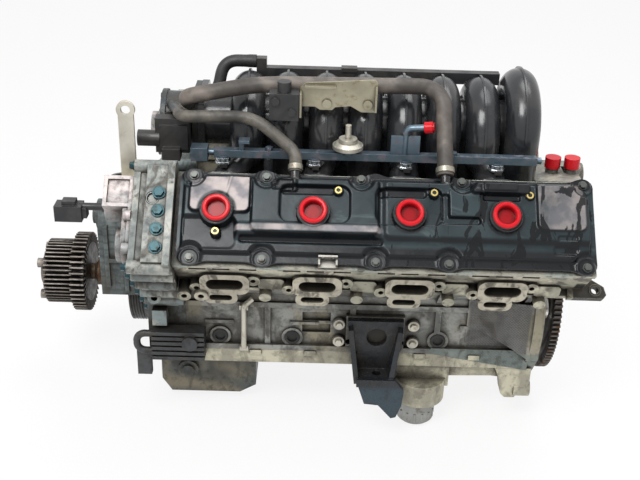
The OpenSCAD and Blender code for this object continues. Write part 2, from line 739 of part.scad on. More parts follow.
module cam_cover(far) {
    rear = head_rear(far);
    last_x = cylinder_x(bank_cylinders - 1, far);
    color(black_plastic) difference() {
        union() {
            // Bolting flange with a scalloped edge
            deck_pad(cover_x0, rear - 1, -60, 60, cover_s, 8, 10);
            for (p = cover_bolt_places(far)) translate([p.x, p.y, cover_s]) cylinder(r = 10, h = 9);
            // Body: deck with a sloping outer shoulder
            along_x(cover_x0 + 5, rear - cover_x0 - 12) polygon([[-48.5, cover_s + 6], [-47, cover_s + 10],
                [-28, deck_s], [42, deck_s], [46, deck_s - 5], [46, cover_s + 6]]);
            // Raised panel over the first cylinder
            deck_pad(cover_x0 + 15, cover_x0 + 97, -14, 43, deck_s - 1, 5, 8);
            deck_pad(cover_x0 + 22, cover_x0 + 90, -8, 38, deck_s + 3, 2.5, 5);
            // Long rounded ridge
            translate([cover_x0 + 74, -16, deck_s - 1]) rotate([0, 90, 0])
                cylinder(r = 6, h = last_x - cover_x0 - 134);
            for (x = [cover_x0 + 75, last_x - 61]) translate([x, -16, deck_s - 1]) sphere(5.9);
            // Raised frames around the middle plugs
            for (i = [1 : max(1, bank_cylinders - 2)]) {
                x = cylinder_x(i, far);
                deck_pad(x - 48, x + 52, -14, 43, deck_s - 1, 5.5, 14);
            }
            // Plug tubes
            for (i = cylinders) translate([cylinder_x(i, far), plug_y, cover_s]) {
                cylinder(r = well_r + 4, h = cover_h + tube_h);
                cylinder(r = well_r + 8, h = cover_h + 6);
            }
            // Bosses for the coils' inserts
            for (i = cylinders) translate(insert_place(i, far) + [0, 0, cover_s])
                cylinder(r = 7.5, h = cover_h + 7);
            // Oil baffle housing at the rear
            deck_pad(last_x - 42, last_x + 30, plug_y + well_r + 9.5, 44, deck_s - 1, 13, 5);
            deck_pad(last_x - 34, last_x + 20, plug_y + well_r + 12.5, 41, deck_s + 11, 3, 4);
            deck_pad(last_x + 40, rear - 14, -24, 42, deck_s - 1, 5, 8);
            // Ventilation nipples along the inner edge
            for (x = [nipple_x(far), pcv_x]) translate([x, 44, nipple_s]) rotate([-90, 0, 0]) {
                cylinder(r = 9, h = 6);
                cylinder(r = 6.5, h = 28);
            }
            // Loop tab beside the front nipple
            deck_pad(pcv_x - 26, pcv_x - 14, 28, 44, deck_s - 1, 12, 3);
            if (far) translate([filler_x, 10, deck_s - 2]) cylinder(r = 24, h = 16);
        }
        // Sunk floors inside the raised frames
        for (i = [1 : max(1, bank_cylinders - 2)]) {
            x = cylinder_x(i, far);
            difference() {
                deck_pad(x - 41, x + 45, -8, 38, deck_s - 5, 20, 10);
                translate([x, plug_y, deck_s - 10]) cylinder(r = well_r + 8, h = 40);
                translate(insert_place(i, far) + [0, 0, deck_s - 10]) cylinder(r = 7.5, h = 40);
            }
        }
        // L-shaped recess before the last plug
        deck_pad(last_x - 88, last_x - 30, -6, 8, deck_s - 5, 20, 5);
        deck_pad(last_x - 74, last_x - 50, -6, 34, deck_s - 5, 20, 5);
        // Plug tube bores
        for (i = cylinders) translate([cylinder_x(i, far), plug_y, cover_s - 1])
            cylinder(r = well_r, h = 80);
        for (i = cylinders) translate(insert_place(i, far) + [0, 0, deck_s - 4])
            cylinder(r = 4.5 + seat_gap, h = 20);
        for (x = [nipple_x(far), pcv_x]) translate([x, 60, nipple_s]) rotate([-90, 0, 0])
            cylinder(r = 4, h = 20);
        // Oil filler hole
        if (far) translate([filler_x, 10, cover_s + 4]) cylinder(r = 16, h = 60);
        // Bolt holes
        for (p = cover_bolt_places(far)) translate([p.x, p.y, cover_s - 1]) cylinder(r = 3.4, h = 12);
    }
}

filler_x = cylinder_x(0, true) + 56;
// Coil insert of cylinder i: outside the first plug, and behind each other one on its valley side
function insert_place(i, far) = [cylinder_x(i, far), plug_y, 0]
    + (i == 0 ? [0, -well_r - 15, 0] : [31, 29, 0]);
// Ventilation nipples on the covers' valley side
nipple_s = deck_s - 7;
pcv_x = -349;
function nipple_x(far) = far ? -220 : -158;
function nipple_point(x, y) = left_point(x, nipple_s, -y);

module left_cam_cover() left_bank() cam_cover(false);
module right_cam_cover() right_bank() cam_cover(true);

module cover_bolts(far) {
    color(bolt_steel) for (p = cover_bolt_places(far))
        translate([p.x, p.y, cover_s + 9 + seat_gap]) {
            hex_head(4.6, 6);
            translate([0, 0, -9]) cylinder(r = 3, h = 10);
        }
}

module left_cover_bolts() left_bank() cover_bolts(false);
module right_cover_bolts() right_bank() cover_bolts(true);

module tube_seals(far) {
    color([0.04, 0.04, 0.04]) for (i = cylinders)
        translate([cylinder_x(i, far), plug_y, deck_s + 6 + seat_gap]) difference() {
            cylinder(r = well_r + 6.5, h = 3);
            translate([0, 0, -1]) cylinder(r = well_r + 4 + seat_gap, h = 6);
        }
}

module left_tube_seals() left_bank() tube_seals(false);
module right_tube_seals() right_bank() tube_seals(true);

// Shipping caps: a cup pushed into the tube, with a rolled brim on its edge
module well_caps(far) {
    color(cap_red) for (i = cylinders) translate([cylinder_x(i, far), plug_y, tube_s + seat_gap])
        rotate_extrude() polygon([[0, -9], [0, -7], [well_r - 3, -7], [well_r - 2.2, 1], [well_r - 1, 2.8],
            [well_r + 1.6, 3], [well_r + 3.4, 1.4], [well_r + 3.4, 0], [well_r - seat_gap, 0],
            [well_r - seat_gap, -9]]);
}

module left_well_caps() left_bank() well_caps(false);
module right_well_caps() right_bank() well_caps(true);

// Brass threaded inserts for the coil bolts, both banks
module coil_inserts() {
    color([0.78, 0.62, 0.26]) for (m = [0, 1]) mirror([0, m, 0]) left_bank() for (i = cylinders)
        translate(insert_place(i, m == 1) + [0, 0, deck_s - 4 + seat_gap])
            difference() {
                cylinder(r = 4.5, h = 11.6);
                translate([0, 0, 2]) cylinder(r = 2.6, h = 20);
            }
}

// Harness clip on the left cover's outer shoulder
module cover_clip() {
    color([0.42, 0.42, 0.40]) left_bank() difference() {
        union() {
            box([-317, -64, cover_s + 8 + seat_gap], [-293, -51.5, cover_s + 10.5]);
            box([-317, -54, cover_s + 8 + seat_gap], [-293, -51.5, cover_s + 24]);
            for (x = [-317, -295.5]) box([x, -62, cover_s + 8 + seat_gap], [x + 2.5, -51.5, cover_s + 18]);
        }
        for (x = [-311, -299]) translate([x, -40, cover_s + 19]) rotate([90, 0, 0]) cylinder(r = 2.6, h = 20);
    }
}

// Screw-in oil filler cap of the right cam cover
module oil_filler_cap() {
    color(black_plastic) right_bank() translate([filler_x, 10, deck_s + 14 + seat_gap]) {
        difference() {
            cylinder(r = 25, h = 12);
            for (a = [0 : 30 : 359]) rotate(a) translate([27, 0, -1]) cylinder(r = 4, h = 14);
            translate([0, 0, 8]) difference() {
                cylinder(r = 18, h = 10);
                translate([-20, -3.5, -1]) cube([40, 7, 12]);
            }
        }
        translate([0, 0, -16]) cylinder(r = 16 - run_gap, h = 17);
    }
}

// ---------------------------------------------------------------- intake

plenum_half = 34;
flange_y = head_half + seat_gap;
last_runner_x = runner_x(bank_cylinders - 1, true);
first_runner_x = runner_x(0, false);
throttle_x = first_runner_x - runner_r - 44;
throttle_z = arch_z - 3;
// Bosses for the purge valve's bracket, on two arches
boss_x = [runner_x(1, false), runner_x(1, true)];

// One runner, from its intake flange up and over to the plenum's far side
module runner(i, far) {
    x = runner_x(i, far);
    z = runner_z(i, far);
    foot = left_point(cylinder_x(i, far), head_s + 40, -flange_y - 6);
    turn = [x, -arch_r, foot.z + 24];
    mirror([0, far ? 1 : 0, 0]) {
        translate([x, 0, z]) rotate([90, 0, 90]) rotate_extrude(angle = 180)
            translate([arch_r, 0]) circle(runner_r);
        // Far leg, down to the plenum
        translate([x, arch_r, z - 70]) cylinder(r = runner_r, h = 70);
        translate([x, arch_r, z - 70]) sphere(runner_r - 0.2);
        // Near leg and its turn into the flange
        translate([x, -arch_r, turn.z]) cylinder(r = runner_r, h = z - turn.z);
        translate(turn) sphere(runner_r - 0.2);
        bar(turn, foot, runner_r - 4);
        // Moulded rib over the arch
        translate([x - 1.5, 0, z]) rotate([90, 0, 90]) rotate_extrude(angle = 180)
            translate([arch_r + runner_r - 2, 0]) square([4.5, 3]);
    }
}

module intake_flange(far) {
    mirror([0, far ? 1 : 0, 0]) left_bank() {
        box([cylinder_x(0, far) - 34, flange_y, head_s + 22],
            [cylinder_x(bank_cylinders - 1, far) + 34, flange_y + 11, head_s + 60]);
        for (i = cylinders) translate([cylinder_x(i, far), flange_y + 9, head_s + 40])
            rotate([-90, 0, 0]) linear_extrude(5) rounded(52, 40, 14);
    }
}

injector_top = [-98, 228];
injector_foot = [-90, 196];
boss_z = arch_z + 52;

module intake_manifold() {
    color([0.13, 0.13, 0.14]) difference() {
        union() {
            for (i = cylinders) {
                runner(i, false);
                runner(i, true);
            }
            intake_flange(false);
            intake_flange(true);
            // Plenum between the legs
            box([first_runner_x - 10, -plenum_half, 152],
                [last_runner_x + 10, plenum_half, arch_z - 10]);
            x_cylinder([throttle_x + seat_gap, 0, throttle_z], plenum_half + 2, last_runner_x - throttle_x);
            x_cylinder([first_runner_x - 10, 0, 152], plenum_half, last_runner_x - first_runner_x + 20);
            // Throttle flange
            translate([throttle_x + seat_gap, 0, throttle_z]) rotate([90, 0, 90]) linear_extrude(9)
                rounded(88, 88, 12);
            // Injector bosses in the flanges
            for (m = [0, 1]) mirror([0, m, 0]) for (i = cylinders)
                bar([cylinder_x(i, m == 1), injector_foot.x - 1, injector_foot.y - 4],
                    [cylinder_x(i, m == 1), injector_foot.x - 4, injector_foot.y + 8], 10);
            // Rail posts and valve bosses
            for (m = [0, 1]) mirror([0, m, 0]) for (x = post_x)
                bar([x, -97, 194], [x, rail_y, rail_z - 4], 7);
            for (x = boss_x) y_cylinder([x, -24, boss_z], 6, 56);
        }
        // Faces of both flanges
        for (m = [0, 1]) mirror([0, m, 0]) left_bank()
            box([front_x, -60, head_s - 20], [40, flange_y, cover_s + 20]);
        // Throttle mouth and plenum entry
        x_cylinder([throttle_x - 1, 0, throttle_z], throttle_r, 70);
        // Injector seats
        for (m = [0, 1]) mirror([0, m, 0]) for (i = cylinders)
            bar([cylinder_x(i, m == 1), injector_foot.x, injector_foot.y],
                [cylinder_x(i, m == 1), injector_top.x - 4, injector_top.y + 16], 6.2 + seat_gap);
        for (x = boss_x) y_cylinder([x, -72, boss_z], 2.5, 12);
        // Cut back where the rails sit
        for (m = [0, 1]) mirror([0, m, 0])
            box([-480, -110, rail_z - rail_h - seat_gap], [0, -84, rail_z + 9]);
    }
}

rail_y = -98;
rail_z = 239;
rail_h = 5;
rail_x0 = cylinder_x(0, false) - 12;
rail_x1 = cylinder_x(bank_cylinders - 1, false) + 52;
post_x = [cylinder_x(0, false) + 60, cylinder_x(bank_cylinders - 1, false) - 58];

module fuel_rail(far) {
    color([0.36, 0.43, 0.48]) union() {
        box([rail_x0, rail_y - rail_h - 1, rail_z - rail_h], [rail_x1, rail_y + rail_h + 1, rail_z + rail_h]);
        x_cylinder([rail_x0 - 16, rail_y, rail_z], rail_h - 0.6, 20);
        x_cylinder([rail_x1 - 2, rail_y, rail_z], rail_h - 0.6, 8);
        // Injector cups
        for (i = cylinders) translate([cylinder_x(i, far), rail_y, rail_z - 11]) difference() {
            cylinder(r = 9, h = 8);
            translate([0, 0, -1]) cylinder(r = 6.4, h = 6);
        }
        // Clamp bolts over the posts
        for (x = post_x) translate([x, rail_y, rail_z + rail_h - 1]) cylinder(r = 5, h = 5, $fn = 6);
    }
}

// Left rail: end fitting block, hook bracket, damper seat and inlet
module left_fuel_rail() {
    color([0.36, 0.43, 0.48]) union() {
        fuel_rail(false);
        box([rail_x0 - 30, rail_y - 10, rail_z - 10], [rail_x0 - 8, rail_y + 10, rail_z + 8]);
        box([-424, rail_y - 4, rail_z + 3], [-418, rail_y + 4, rail_z + 19]);
        box([-424, rail_y - 10, rail_z + 16], [-410, rail_y + 4, rail_z + 20]);
        translate([-282, rail_y, rail_z + 3]) cylinder(r = 9, h = 8);
        // Inlet plate and pipe
        box([-226, rail_y - 3, rail_z + 3], [-188, rail_y + 1, rail_z + 30]);
        pipe([[-207, rail_y, rail_z + 4], [-207, rail_y, rail_z + 40], [-184, rail_y - 6, rail_z + 44]],
            9, 4.5);
    }
}

module right_fuel_rail() mirror([0, 1, 0]) fuel_rail(true);

module injectors(far) {
    color([0.10, 0.10, 0.11]) for (i = cylinders) {
        a = [cylinder_x(i, far), injector_foot.x - 0.06, injector_foot.y + 0.3];
        b = [cylinder_x(i, far), injector_top.x + 1, injector_top.y - 4];
        bar(a, b, 6.2);
        translate(b - [0, 1, 0]) cylinder(r = 6.1, h = 4.5);
        translate(b) sphere(6.05);
        translate([b.x - 3, b.y - 14, b.z - 2]) cube([9, 12, 5.4]);
    }
}

module left_injectors() injectors(false);
module right_injectors() mirror([0, 1, 0]) injectors(true);

// Pulsation damper can on top of the left rail
module fuel_damper() {
    color([0.75, 0.74, 0.70]) translate([-282, rail_y - 2, rail_z + 11 + seat_gap]) {
        cylinder(r = 20, h = 5);
        translate([0, 0, 4]) cylinder(r1 = 20, r2 = 15, h = 5);
        translate([0, 0, 8]) cylinder(r = 12, h = 6);
        cylinder(r = 4, h = 32);
    }
}

// Red cap over the fuel inlet
module fuel_inlet_cap() {
    color(cap_red) {
        d = unit([23, -6, 4]);
        a = [-184, rail_y - 6, rail_z + 44] + d * seat_gap;
        bar(a, a + d * 11, 7.5);
        bar(a + d * 10, a + d * 13, 6);
    }
}

// Vacuum gallery: a bar saddled over the arches
gallery_x0 = first_runner_x + 8;
gallery_top = arch_z + 63;
elbow_z = gallery_top + 7;

module vacuum_gallery() {
    z = arch_z - arch_step;
    color(black_plastic) difference() {
        union() {
            box([gallery_x0, 26, gallery_top - 16], [last_runner_x - runner_r - 1, 40, gallery_top]);
            box([gallery_x0, 26, gallery_top - 12], [gallery_x0 + 14, 40, gallery_top + 13]);
            x_cylinder([gallery_x0 - 12, 33, elbow_z], 5, 14);
            box([gallery_x0 + 118, 24, gallery_top - 3], [gallery_x0 + 140, 38, gallery_top + 3]);
        }
        for (i = cylinders, far = [false, true]) translate([runner_x(i, far), 0, z])
            rotate([90, 0, 90]) rotate_extrude(angle = 180) {
                translate([arch_r, 0]) circle(runner_r + seat_gap);
                translate([arch_r, -1.5 - seat_gap])
                    square([runner_r + 2.5 + seat_gap, 3 + 2 * seat_gap]);
            }
    }
}

// Rubber elbow from the throttle neck up to the gallery
module vacuum_elbow() {
    z = elbow_z;
    x = throttle_x + 22;
    color([0.10, 0.10, 0.11]) difference() {
        pipe([[x, 22, throttle_z + 34.4], [x + 8, 33, z], [gallery_x0 - 0.3, 33, z]], 16, 8.5);
        x_cylinder([gallery_x0 - 13, 33, z], 5 + seat_gap, 20);
    }
}

// Large breather hose from the throttle neck over the arches to the left cam cover
module breather_hose() {
    x = nipple_x(false);
    neck = big_neck + [0, -28, 16];
    color([0.16, 0.16, 0.15]) difference() {
        pipe([neck, neck + [0, -28, 16], [first_runner_x + 17, -66, 323],
            nipple_point(x, 187), nipple_point(x, 61)], 22, 10.5);
        bar(nipple_point(x, 50), nipple_point(x, 73), 6.5 + seat_gap);
    }
}

// Smaller breather hose with its clamps, to the front of the left cam cover
module pcv_hose() {
    color([0.13, 0.13, 0.13]) difference() {
        union() {
            pipe([small_neck + [18, -50, 7], small_neck + [25, -70, 9.8],
                [first_runner_x + 12, -95, 288], nipple_point(pcv_x, 88), nipple_point(pcv_x, 61)],
                12, 8);
            bar(nipple_point(pcv_x, 63), nipple_point(pcv_x, 69), 9.6);
        }
        bar(nipple_point(pcv_x, 50), nipple_point(pcv_x, 73), 6.5 + seat_gap);
    }
}

// Purge valve with its two clamped ends
module purge_valve() {
    color(black_plastic) {
        box([-385, -102, 286], [-347, -81, 322]);
        translate([-366, -91, 320]) cylinder(r = 9, h = 16);
        translate([-375, -91, 282]) cylinder(r = 5, h = 8);
        for (p = [[-377, 312], [-356, 298]]) y_cylinder([p.x, -100, p.y], 5.5, 5);
    }
}

// Stamped bracket that carries the purge valve on the manifold
module purge_bracket() {
    color([0.66, 0.62, 0.50]) difference() {
        union() {
            along_y(-80.25, 3) polygon([[-346, 300], [-346, 326], [-338, 332], [-250, 338], [-246, 334],
                [-246, 294], [-266, 294], [-280, 302], [-300, 300], [-304, 296], [-320, 296], [-326, 300]]);
            box([-340, -92, 327], [-300, -80.25, 330]);
            box([-249, -90, 296], [-246.3, -80.25, 330]);
            box([-346.2, -100, 290], [-343.5, -80.25, 322]);
            for (x = boss_x) y_cylinder([x, -83, boss_z], 6, 4);
        }
        for (x = boss_x) y_cylinder([x, -78, boss_z], 2.2, 5);
    }
}

// ---------------------------------------------------------------- throttle

body_len = 52;
plate_x = throttle_x - 26;
// Where the two hose nipples leave the throttle body
big_neck = [throttle_x - 10, -24, throttle_z + 26];
small_neck = [throttle_x - 38, -24, throttle_z + 26];

// Distance from the bore's edge to the motor, clear of the air duct on the lip
motor_out = 20;

module throttle_body() {
    color([0.50, 0.51, 0.50]) difference() {
        union() {
            x_cylinder([throttle_x - body_len, 0, throttle_z], throttle_r + 6, body_len);
            translate([throttle_x - 8, 0, throttle_z]) rotate([90, 0, 90]) linear_extrude(8)
                rounded(86, 86, 12);
            x_cylinder([throttle_x - body_len, 0, throttle_z], throttle_r + 9, 7);
            // Hose nipples on the near and far upper sides
            bar(big_neck, big_neck + [0, -28, 16] * 0.99, 8);
            bar(small_neck, small_neck + [18, -50, 7] * 0.995, 6);
            // Shaft bosses and motor pad
            y_cylinder([plate_x, throttle_r + 14, throttle_z], 9, 2 * throttle_r + 25);
            box([throttle_x - 43, -throttle_r - motor_out, throttle_z - 18],
                [throttle_x - 9, -throttle_r + 4, throttle_z + 18]);
        }
        x_cylinder([throttle_x - body_len - 1, 0, throttle_z], throttle_r, body_len + 2);
        y_cylinder([plate_x, throttle_r + 10, throttle_z], 4 + run_gap, 2 * throttle_r + 20);
    }
}

// Disc and its shaft, closed at rest
module throttle_plate() {
    color([0.68, 0.60, 0.40]) {
        x_cylinder([plate_x - 1, 0, throttle_z], throttle_r - 0.4, 2);
        y_cylinder([plate_x, throttle_r + 9, throttle_z], 4, 2 * throttle_r + 18);
    }
}

// Black gearbox and motor of the throttle, on the near side
module throttle_motor() {
    y1 = -throttle_r - motor_out - seat_gap;
    color(black_plastic) {
        box([throttle_x - 54, y1 - 18, throttle_z - 26], [throttle_x - 9, y1, throttle_z + 22]);
        box([throttle_x - 48, y1 - 22, throttle_z - 20], [throttle_x - 10, y1 - 16, throttle_z + 14]);
        x_cylinder([throttle_x - 78, y1 - 12, throttle_z - 8], 11, 30);
        box([throttle_x - 44, y1 - 32, throttle_z - 32], [throttle_x - 20, y1 - 12, throttle_z - 16]);
    }
}

// ---------------------------------------------------------------- rear coolant outlet

module coolant_outlet() {
    color([0.52, 0.53, 0.50]) difference() {
        union() {
            box([-34, -valley_half, valley_z + seat_gap], [pan_rear, valley_half, 172]);
            box([-34, -valley_half, bell_r + 4], [10, valley_half, 172]);
            box([-20, -52, 164], [46, 40, 184]);
            along_y(-20, 30) polygon([[-20, 160], [46, 176], [46, 190], [-20, 190]]);
            for (p = [[10, -14], [37, -14]]) translate([p.x, p.y, 182]) cylinder(r = 9, h = 20);
            x_cylinder([44, 8, 176], 20, 4);
            x_cylinder([47, 8, 176], 17, 11);
            translate([-8, -40, 182]) cylinder(r = 7, h = 6);
        }
        x_cylinder([30, 8, 176], 13, 30);
        for (p = [[10, -14], [37, -14]]) translate([p.x, p.y, 184]) cylinder(r = 6, h = 30);
    }
}

// Red caps over the two upright pipes
module outlet_caps() {
    color(cap_red) for (p = [[10, -14], [37, -14]]) translate([p.x, p.y, 202 + seat_gap]) {
        cylinder(r = 11, h = 9);
        translate([0, 0, -6]) difference() {
            cylinder(r = 11, h = 7);
            translate([0, 0, -1]) cylinder(r = 9 + seat_gap, h = 9);
        }
    }
}

// ---------------------------------------------------------------- mounts, pans and small parts

bracket_y = wall_y - 9 - seat_gap;

// Left engine mount bracket: a webbed arm from the block down to its foot
module left_mount_bracket() {
    color([0.05, 0.05, 0.06]) difference() {
        union() {
            along_y(bracket_y, 9) polygon([[-272, 4], [-194, 4], [-195, -40], [-207, -80], [-203, -112],
                [-214, -118], [-240, -112], [-254, -96], [-257, -80], [-268, -40]]);
            // Side webs closing in towards the foot
            for (w = [[-272, -7.6], [-201, 10.2]]) translate([w.x, 0, 0]) rotate([0, w.y, 0])
                rotate([90, 0, 90]) linear_extrude(7) polygon([[bracket_y, 0], [bracket_y - 20, -6],
                    [bracket_y - 41, -66], [bracket_y - 41, -80], [bracket_y, -80]]);
            // Foot with its stud boss and pointed lip
            box([-258, bracket_y - 42, -84], [-205, bracket_y, -74]);
            along_y(bracket_y - 36, 9) polygon([[-259, -70], [-204, -70], [-191, -88], [-193, -112],
                [-200, -132], [-207, -134], [-226, -112], [-246, -110]]);
            translate([-229, bracket_y - 20, -104]) cylinder(r = 13, h = 30);
        }
        // Window through the upper arm
        y_cylinder([-231, bracket_y + 1, -22], 14, 12);
        for (x = mount_holes_x) y_cylinder([x + (x < -230 ? 8 : -4), bracket_y + 1, -48], 4.5, 12);
        // Hole for the mount's stud
        translate([-229, bracket_y - 20, -106]) cylinder(r = 6, h = 40);
    }
}

pan_rear = -bell_t - 3 - seat_gap;

module upper_oil_pan() {
    z1 = pan_z - seat_gap;
    lobe_z = upper_pan_z - 24;
    color(alloy) difference() {
        union() {
            box([front_x, -skirt_half - 6, upper_pan_z], [pan_rear, skirt_half + 6, z1]);
            // Deeper rear part
            along_y(skirt_half - 4, 2 * skirt_half - 8) polygon([[-214, upper_pan_z + 2], [-200, lobe_z],
                [-60, lobe_z + 4], [pan_rear, lobe_z - 2], [pan_rear, upper_pan_z + 2]]);
            box([-206, -skirt_half - 2, -112], [-122, -40, upper_pan_z + 2]);
            // Gearbox lugs at the rear corners
            for (m = [0, 1]) mirror([0, m, 0]) {
                along_y(-skirt_half + 22, 26) polygon([[-58, upper_pan_z + 2], [-48, -98], [-44, -122],
                    [-38, -128], [-24, -128], [-19, -120], [-4, -104], [-4, upper_pan_z + 2]]);
                x_cylinder([-26, -skirt_half + 6, -116], 13, 24);
                // Ribs and flange bolts' pads
                for (x = [-480 : 78 : -20]) box([x - 8, -skirt_half - 9, z1 - 8], [x + 8, -skirt_half, z1]);
            }
            // Filter seat
            translate([-163, -skirt_half + 6, -132]) cylinder(r = 37, h = 34);
        }
        for (m = [0, 1]) mirror([0, m, 0]) x_cylinder([-40, -skirt_half + 6, -116], 5, 50);
        // Clear of the block's sloping rails and bell housing flange
        for (m = [0, 1]) mirror([0, m, 0]) sloping_rail(0.4);
        x_cylinder([pan_rear, 0, 0], bell_r + 3 + seat_gap, 40);
    }
}

module lower_oil_pan() {
    z1 = upper_pan_z - seat_gap;
    color(dark_steel) {
        // Flange
        box([timing_x + 4, -92, z1 - 3], [-226, 92, z1]);
        // Shallow rear floor and deep front sump with a sloped back
        along_y(78, 156) polygon([[timing_x + 10, z1 - 2], [timing_x + 10, -sump_depth + 22],
            [timing_x + 24, -sump_depth], [-428, -sump_depth], [-404, -sump_depth + 14],
            [-404, z1 - 18], [-232, z1 - 18], [-228, z1 - 2]]);
        // Raised boss on the left wall
        y_cylinder([timing_x + 50, -76, -116], 15, 8);
        y_cylinder([timing_x + 50, -76, -116], 9, 12);
        box([timing_x + 10, -84, z1 - 22], [-404, 84, z1 - 2]);
    }
}

module drain_plug() {
    color(bolt_steel) translate([-404 + seat_gap, 0, -124]) rotate([0, 90, 0]) {
        cylinder(r = 9, h = 2.5);
        cylinder(r = 6.5, h = 8, $fn = 6);
    }
}

// Spin-on filter hanging from the upper pan
module oil_filter() {
    color([0.55, 0.56, 0.55]) translate([-166, -skirt_half + 4, -132 - seat_gap]) {
        rotate([180, 0, 0]) cylinder(r = 27, h = 34);
        rotate([180, 0, 0]) cylinder(r = 28.5, h = 4);
        translate([0, 0, -38]) cylinder(r1 = 23, r2 = 27, h = 4);
        for (a = [0 : 24 : 359]) rotate(a) translate([26, 0, -31]) cylinder(r = 2.2, h = 13);
    }
}

// Flat oil cooler on the front left of the pan rail, with its bent pipe
module oil_cooler() {
    x0 = timing_x + 8;
    y1 = -skirt_half - 9 - seat_gap;
    color([0.24, 0.25, 0.25]) {
        for (k = [0 : 5]) box([x0, y1 - 22, -60 + 8 * k], [x0 + 74, y1, -55 + 8 * k]);
        box([x0 + 5, y1 - 18, -60], [x0 + 69, y1 - 2, -16]);
        y_cylinder([x0 + 54, y1 - 20, -30], 11, 8);
        pipe([[x0 + 8, y1 - 10, -24], [x0 - 22, y1 - 10, -24], [x0 - 22, y1 - 10, -52],
            [x0 + 8, y1 - 10, -52]], 12, 5);
        box([x0 - 24, y1 - 6, -96], [x0 - 4, y1 + 4, -56]);
        box([x0 - 24, y1 - 6, -66], [x0 + 20, y1, -56]);
    }
}

// Bright coolant tube standing up the block's side
module coolant_tube() {
    y = -skirt_half - 13;
    color([0.80, 0.79, 0.74]) {
        pipe([[-418, y, -48], [-418, y, 20], [-406, y + 5, 30]], 8, 4);
        box([-424, y, 14], [-412, -skirt_half - 4 - seat_gap, 21]);
        box([-424, y, -53], [-412, -skirt_half - 7 - seat_gap, -46]);
    }
}

cylinder_block();
crankshaft();
crank_damper();
crank_nose_bolt();
flexplate();
ring_gear();
flexplate_bolts();
rear_seal_retainer();
fan_hub();
fan_coupling();
left_head_gasket();
right_head_gasket();
left_cylinder_head();
right_cylinder_head();
left_cam_cover();
right_cam_cover();
left_cover_bolts();
right_cover_bolts();
left_tube_seals();
right_tube_seals();
left_well_caps();
right_well_caps();
coil_inserts();
cover_clip();
oil_filler_cap();
timing_case();
timing_case_bolts();
left_cam_drive_cover();
right_cam_drive_cover();
pump_housing();
cam_sensor();
lifting_strap();
core_plugs();
block_bolts();
intake_manifold();
throttle_body();
throttle_plate();
throttle_motor();
left_fuel_rail();
right_fuel_rail();
left_injectors();
right_injectors();
fuel_damper();
fuel_inlet_cap();
vacuum_gallery();
vacuum_elbow();
breather_hose();
pcv_hose();
purge_valve();
purge_bracket();
coolant_outlet();
outlet_caps();
left_mount_bracket();
upper_oil_pan();
lower_oil_pan();
drain_plug();
oil_filter();
oil_cooler();
coolant_tube();
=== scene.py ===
"""Finishes and detail pieces for a dressed vee engine, laid out as a Blender add-on."""

import math

import bmesh
import bpy
import numpy as np
from mathutils import Matrix, Vector

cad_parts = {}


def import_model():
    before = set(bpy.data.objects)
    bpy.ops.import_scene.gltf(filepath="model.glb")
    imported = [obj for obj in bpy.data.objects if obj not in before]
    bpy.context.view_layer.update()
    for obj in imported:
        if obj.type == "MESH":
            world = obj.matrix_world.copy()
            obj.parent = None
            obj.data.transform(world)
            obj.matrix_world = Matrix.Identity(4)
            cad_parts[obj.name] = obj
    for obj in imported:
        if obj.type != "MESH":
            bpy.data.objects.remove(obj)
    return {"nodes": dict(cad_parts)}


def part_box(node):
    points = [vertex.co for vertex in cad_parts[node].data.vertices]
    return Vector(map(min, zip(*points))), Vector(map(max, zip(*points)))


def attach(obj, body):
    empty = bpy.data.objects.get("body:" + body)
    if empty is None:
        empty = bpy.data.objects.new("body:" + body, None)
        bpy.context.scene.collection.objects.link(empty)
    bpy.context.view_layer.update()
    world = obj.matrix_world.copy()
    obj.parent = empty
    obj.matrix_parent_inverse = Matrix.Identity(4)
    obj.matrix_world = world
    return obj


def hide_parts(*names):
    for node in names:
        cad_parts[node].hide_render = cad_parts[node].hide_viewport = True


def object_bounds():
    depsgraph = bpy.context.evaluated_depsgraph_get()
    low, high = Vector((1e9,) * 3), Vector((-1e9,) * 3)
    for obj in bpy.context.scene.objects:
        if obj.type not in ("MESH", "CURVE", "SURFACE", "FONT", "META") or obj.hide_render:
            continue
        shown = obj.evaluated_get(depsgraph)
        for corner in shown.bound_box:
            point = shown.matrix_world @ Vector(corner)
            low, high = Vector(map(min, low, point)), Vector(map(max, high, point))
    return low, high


bl_info = {
    "name": "Vee engine looks",
    "version": (1, 0, 0),
    "blender": (4, 5, 0),
    "location": "3D View > Sidebar > Engine",
    "description": "Finishes, covers, hoses and small parts for a dressed vee engine",
    "category": "Object",
}

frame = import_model()
CAD_BOX = [list(corner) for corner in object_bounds()]
NODES = frame["nodes"]

MM = 0.001
LEFT, RIGHT = 1, -1
SIDE_NAME = {LEFT: "left", RIGHT: "right"}
# A bank leans by half a right angle, so both its directions have this share along Y and Z
LEAN = math.sqrt(0.5)

# Heights along a cylinder from the crank axis, in millimetres
COVER_S = 259.2
NIPPLE_S = 271.2
CASE_S = 274.2
DECK_S = 278.2
TUBE_S = 290.2

# Cylinders to a bank, and places along the crank and across a bank, in millimetres. PLUG_X is the rear plug
BORE_PITCH = 120
CYLINDERS = 4
PLUG_X = {LEFT: -85, RIGHT: -67}
PLUG_Y = 4
COVER_FRONT = -494
COVER_REAR = {LEFT: 30, RIGHT: 12}
CASE_HOLE = (-527, 20)
NIPPLE_X = {LEFT: (-349, -158), RIGHT: (-349, -220)}
FRONT_NIPPLE, REAR_NIPPLE = NIPPLE_X[LEFT]

# Places as Y and Z, in millimetres: the fuel rail's middle
FUEL_RAIL = (-98, 239)

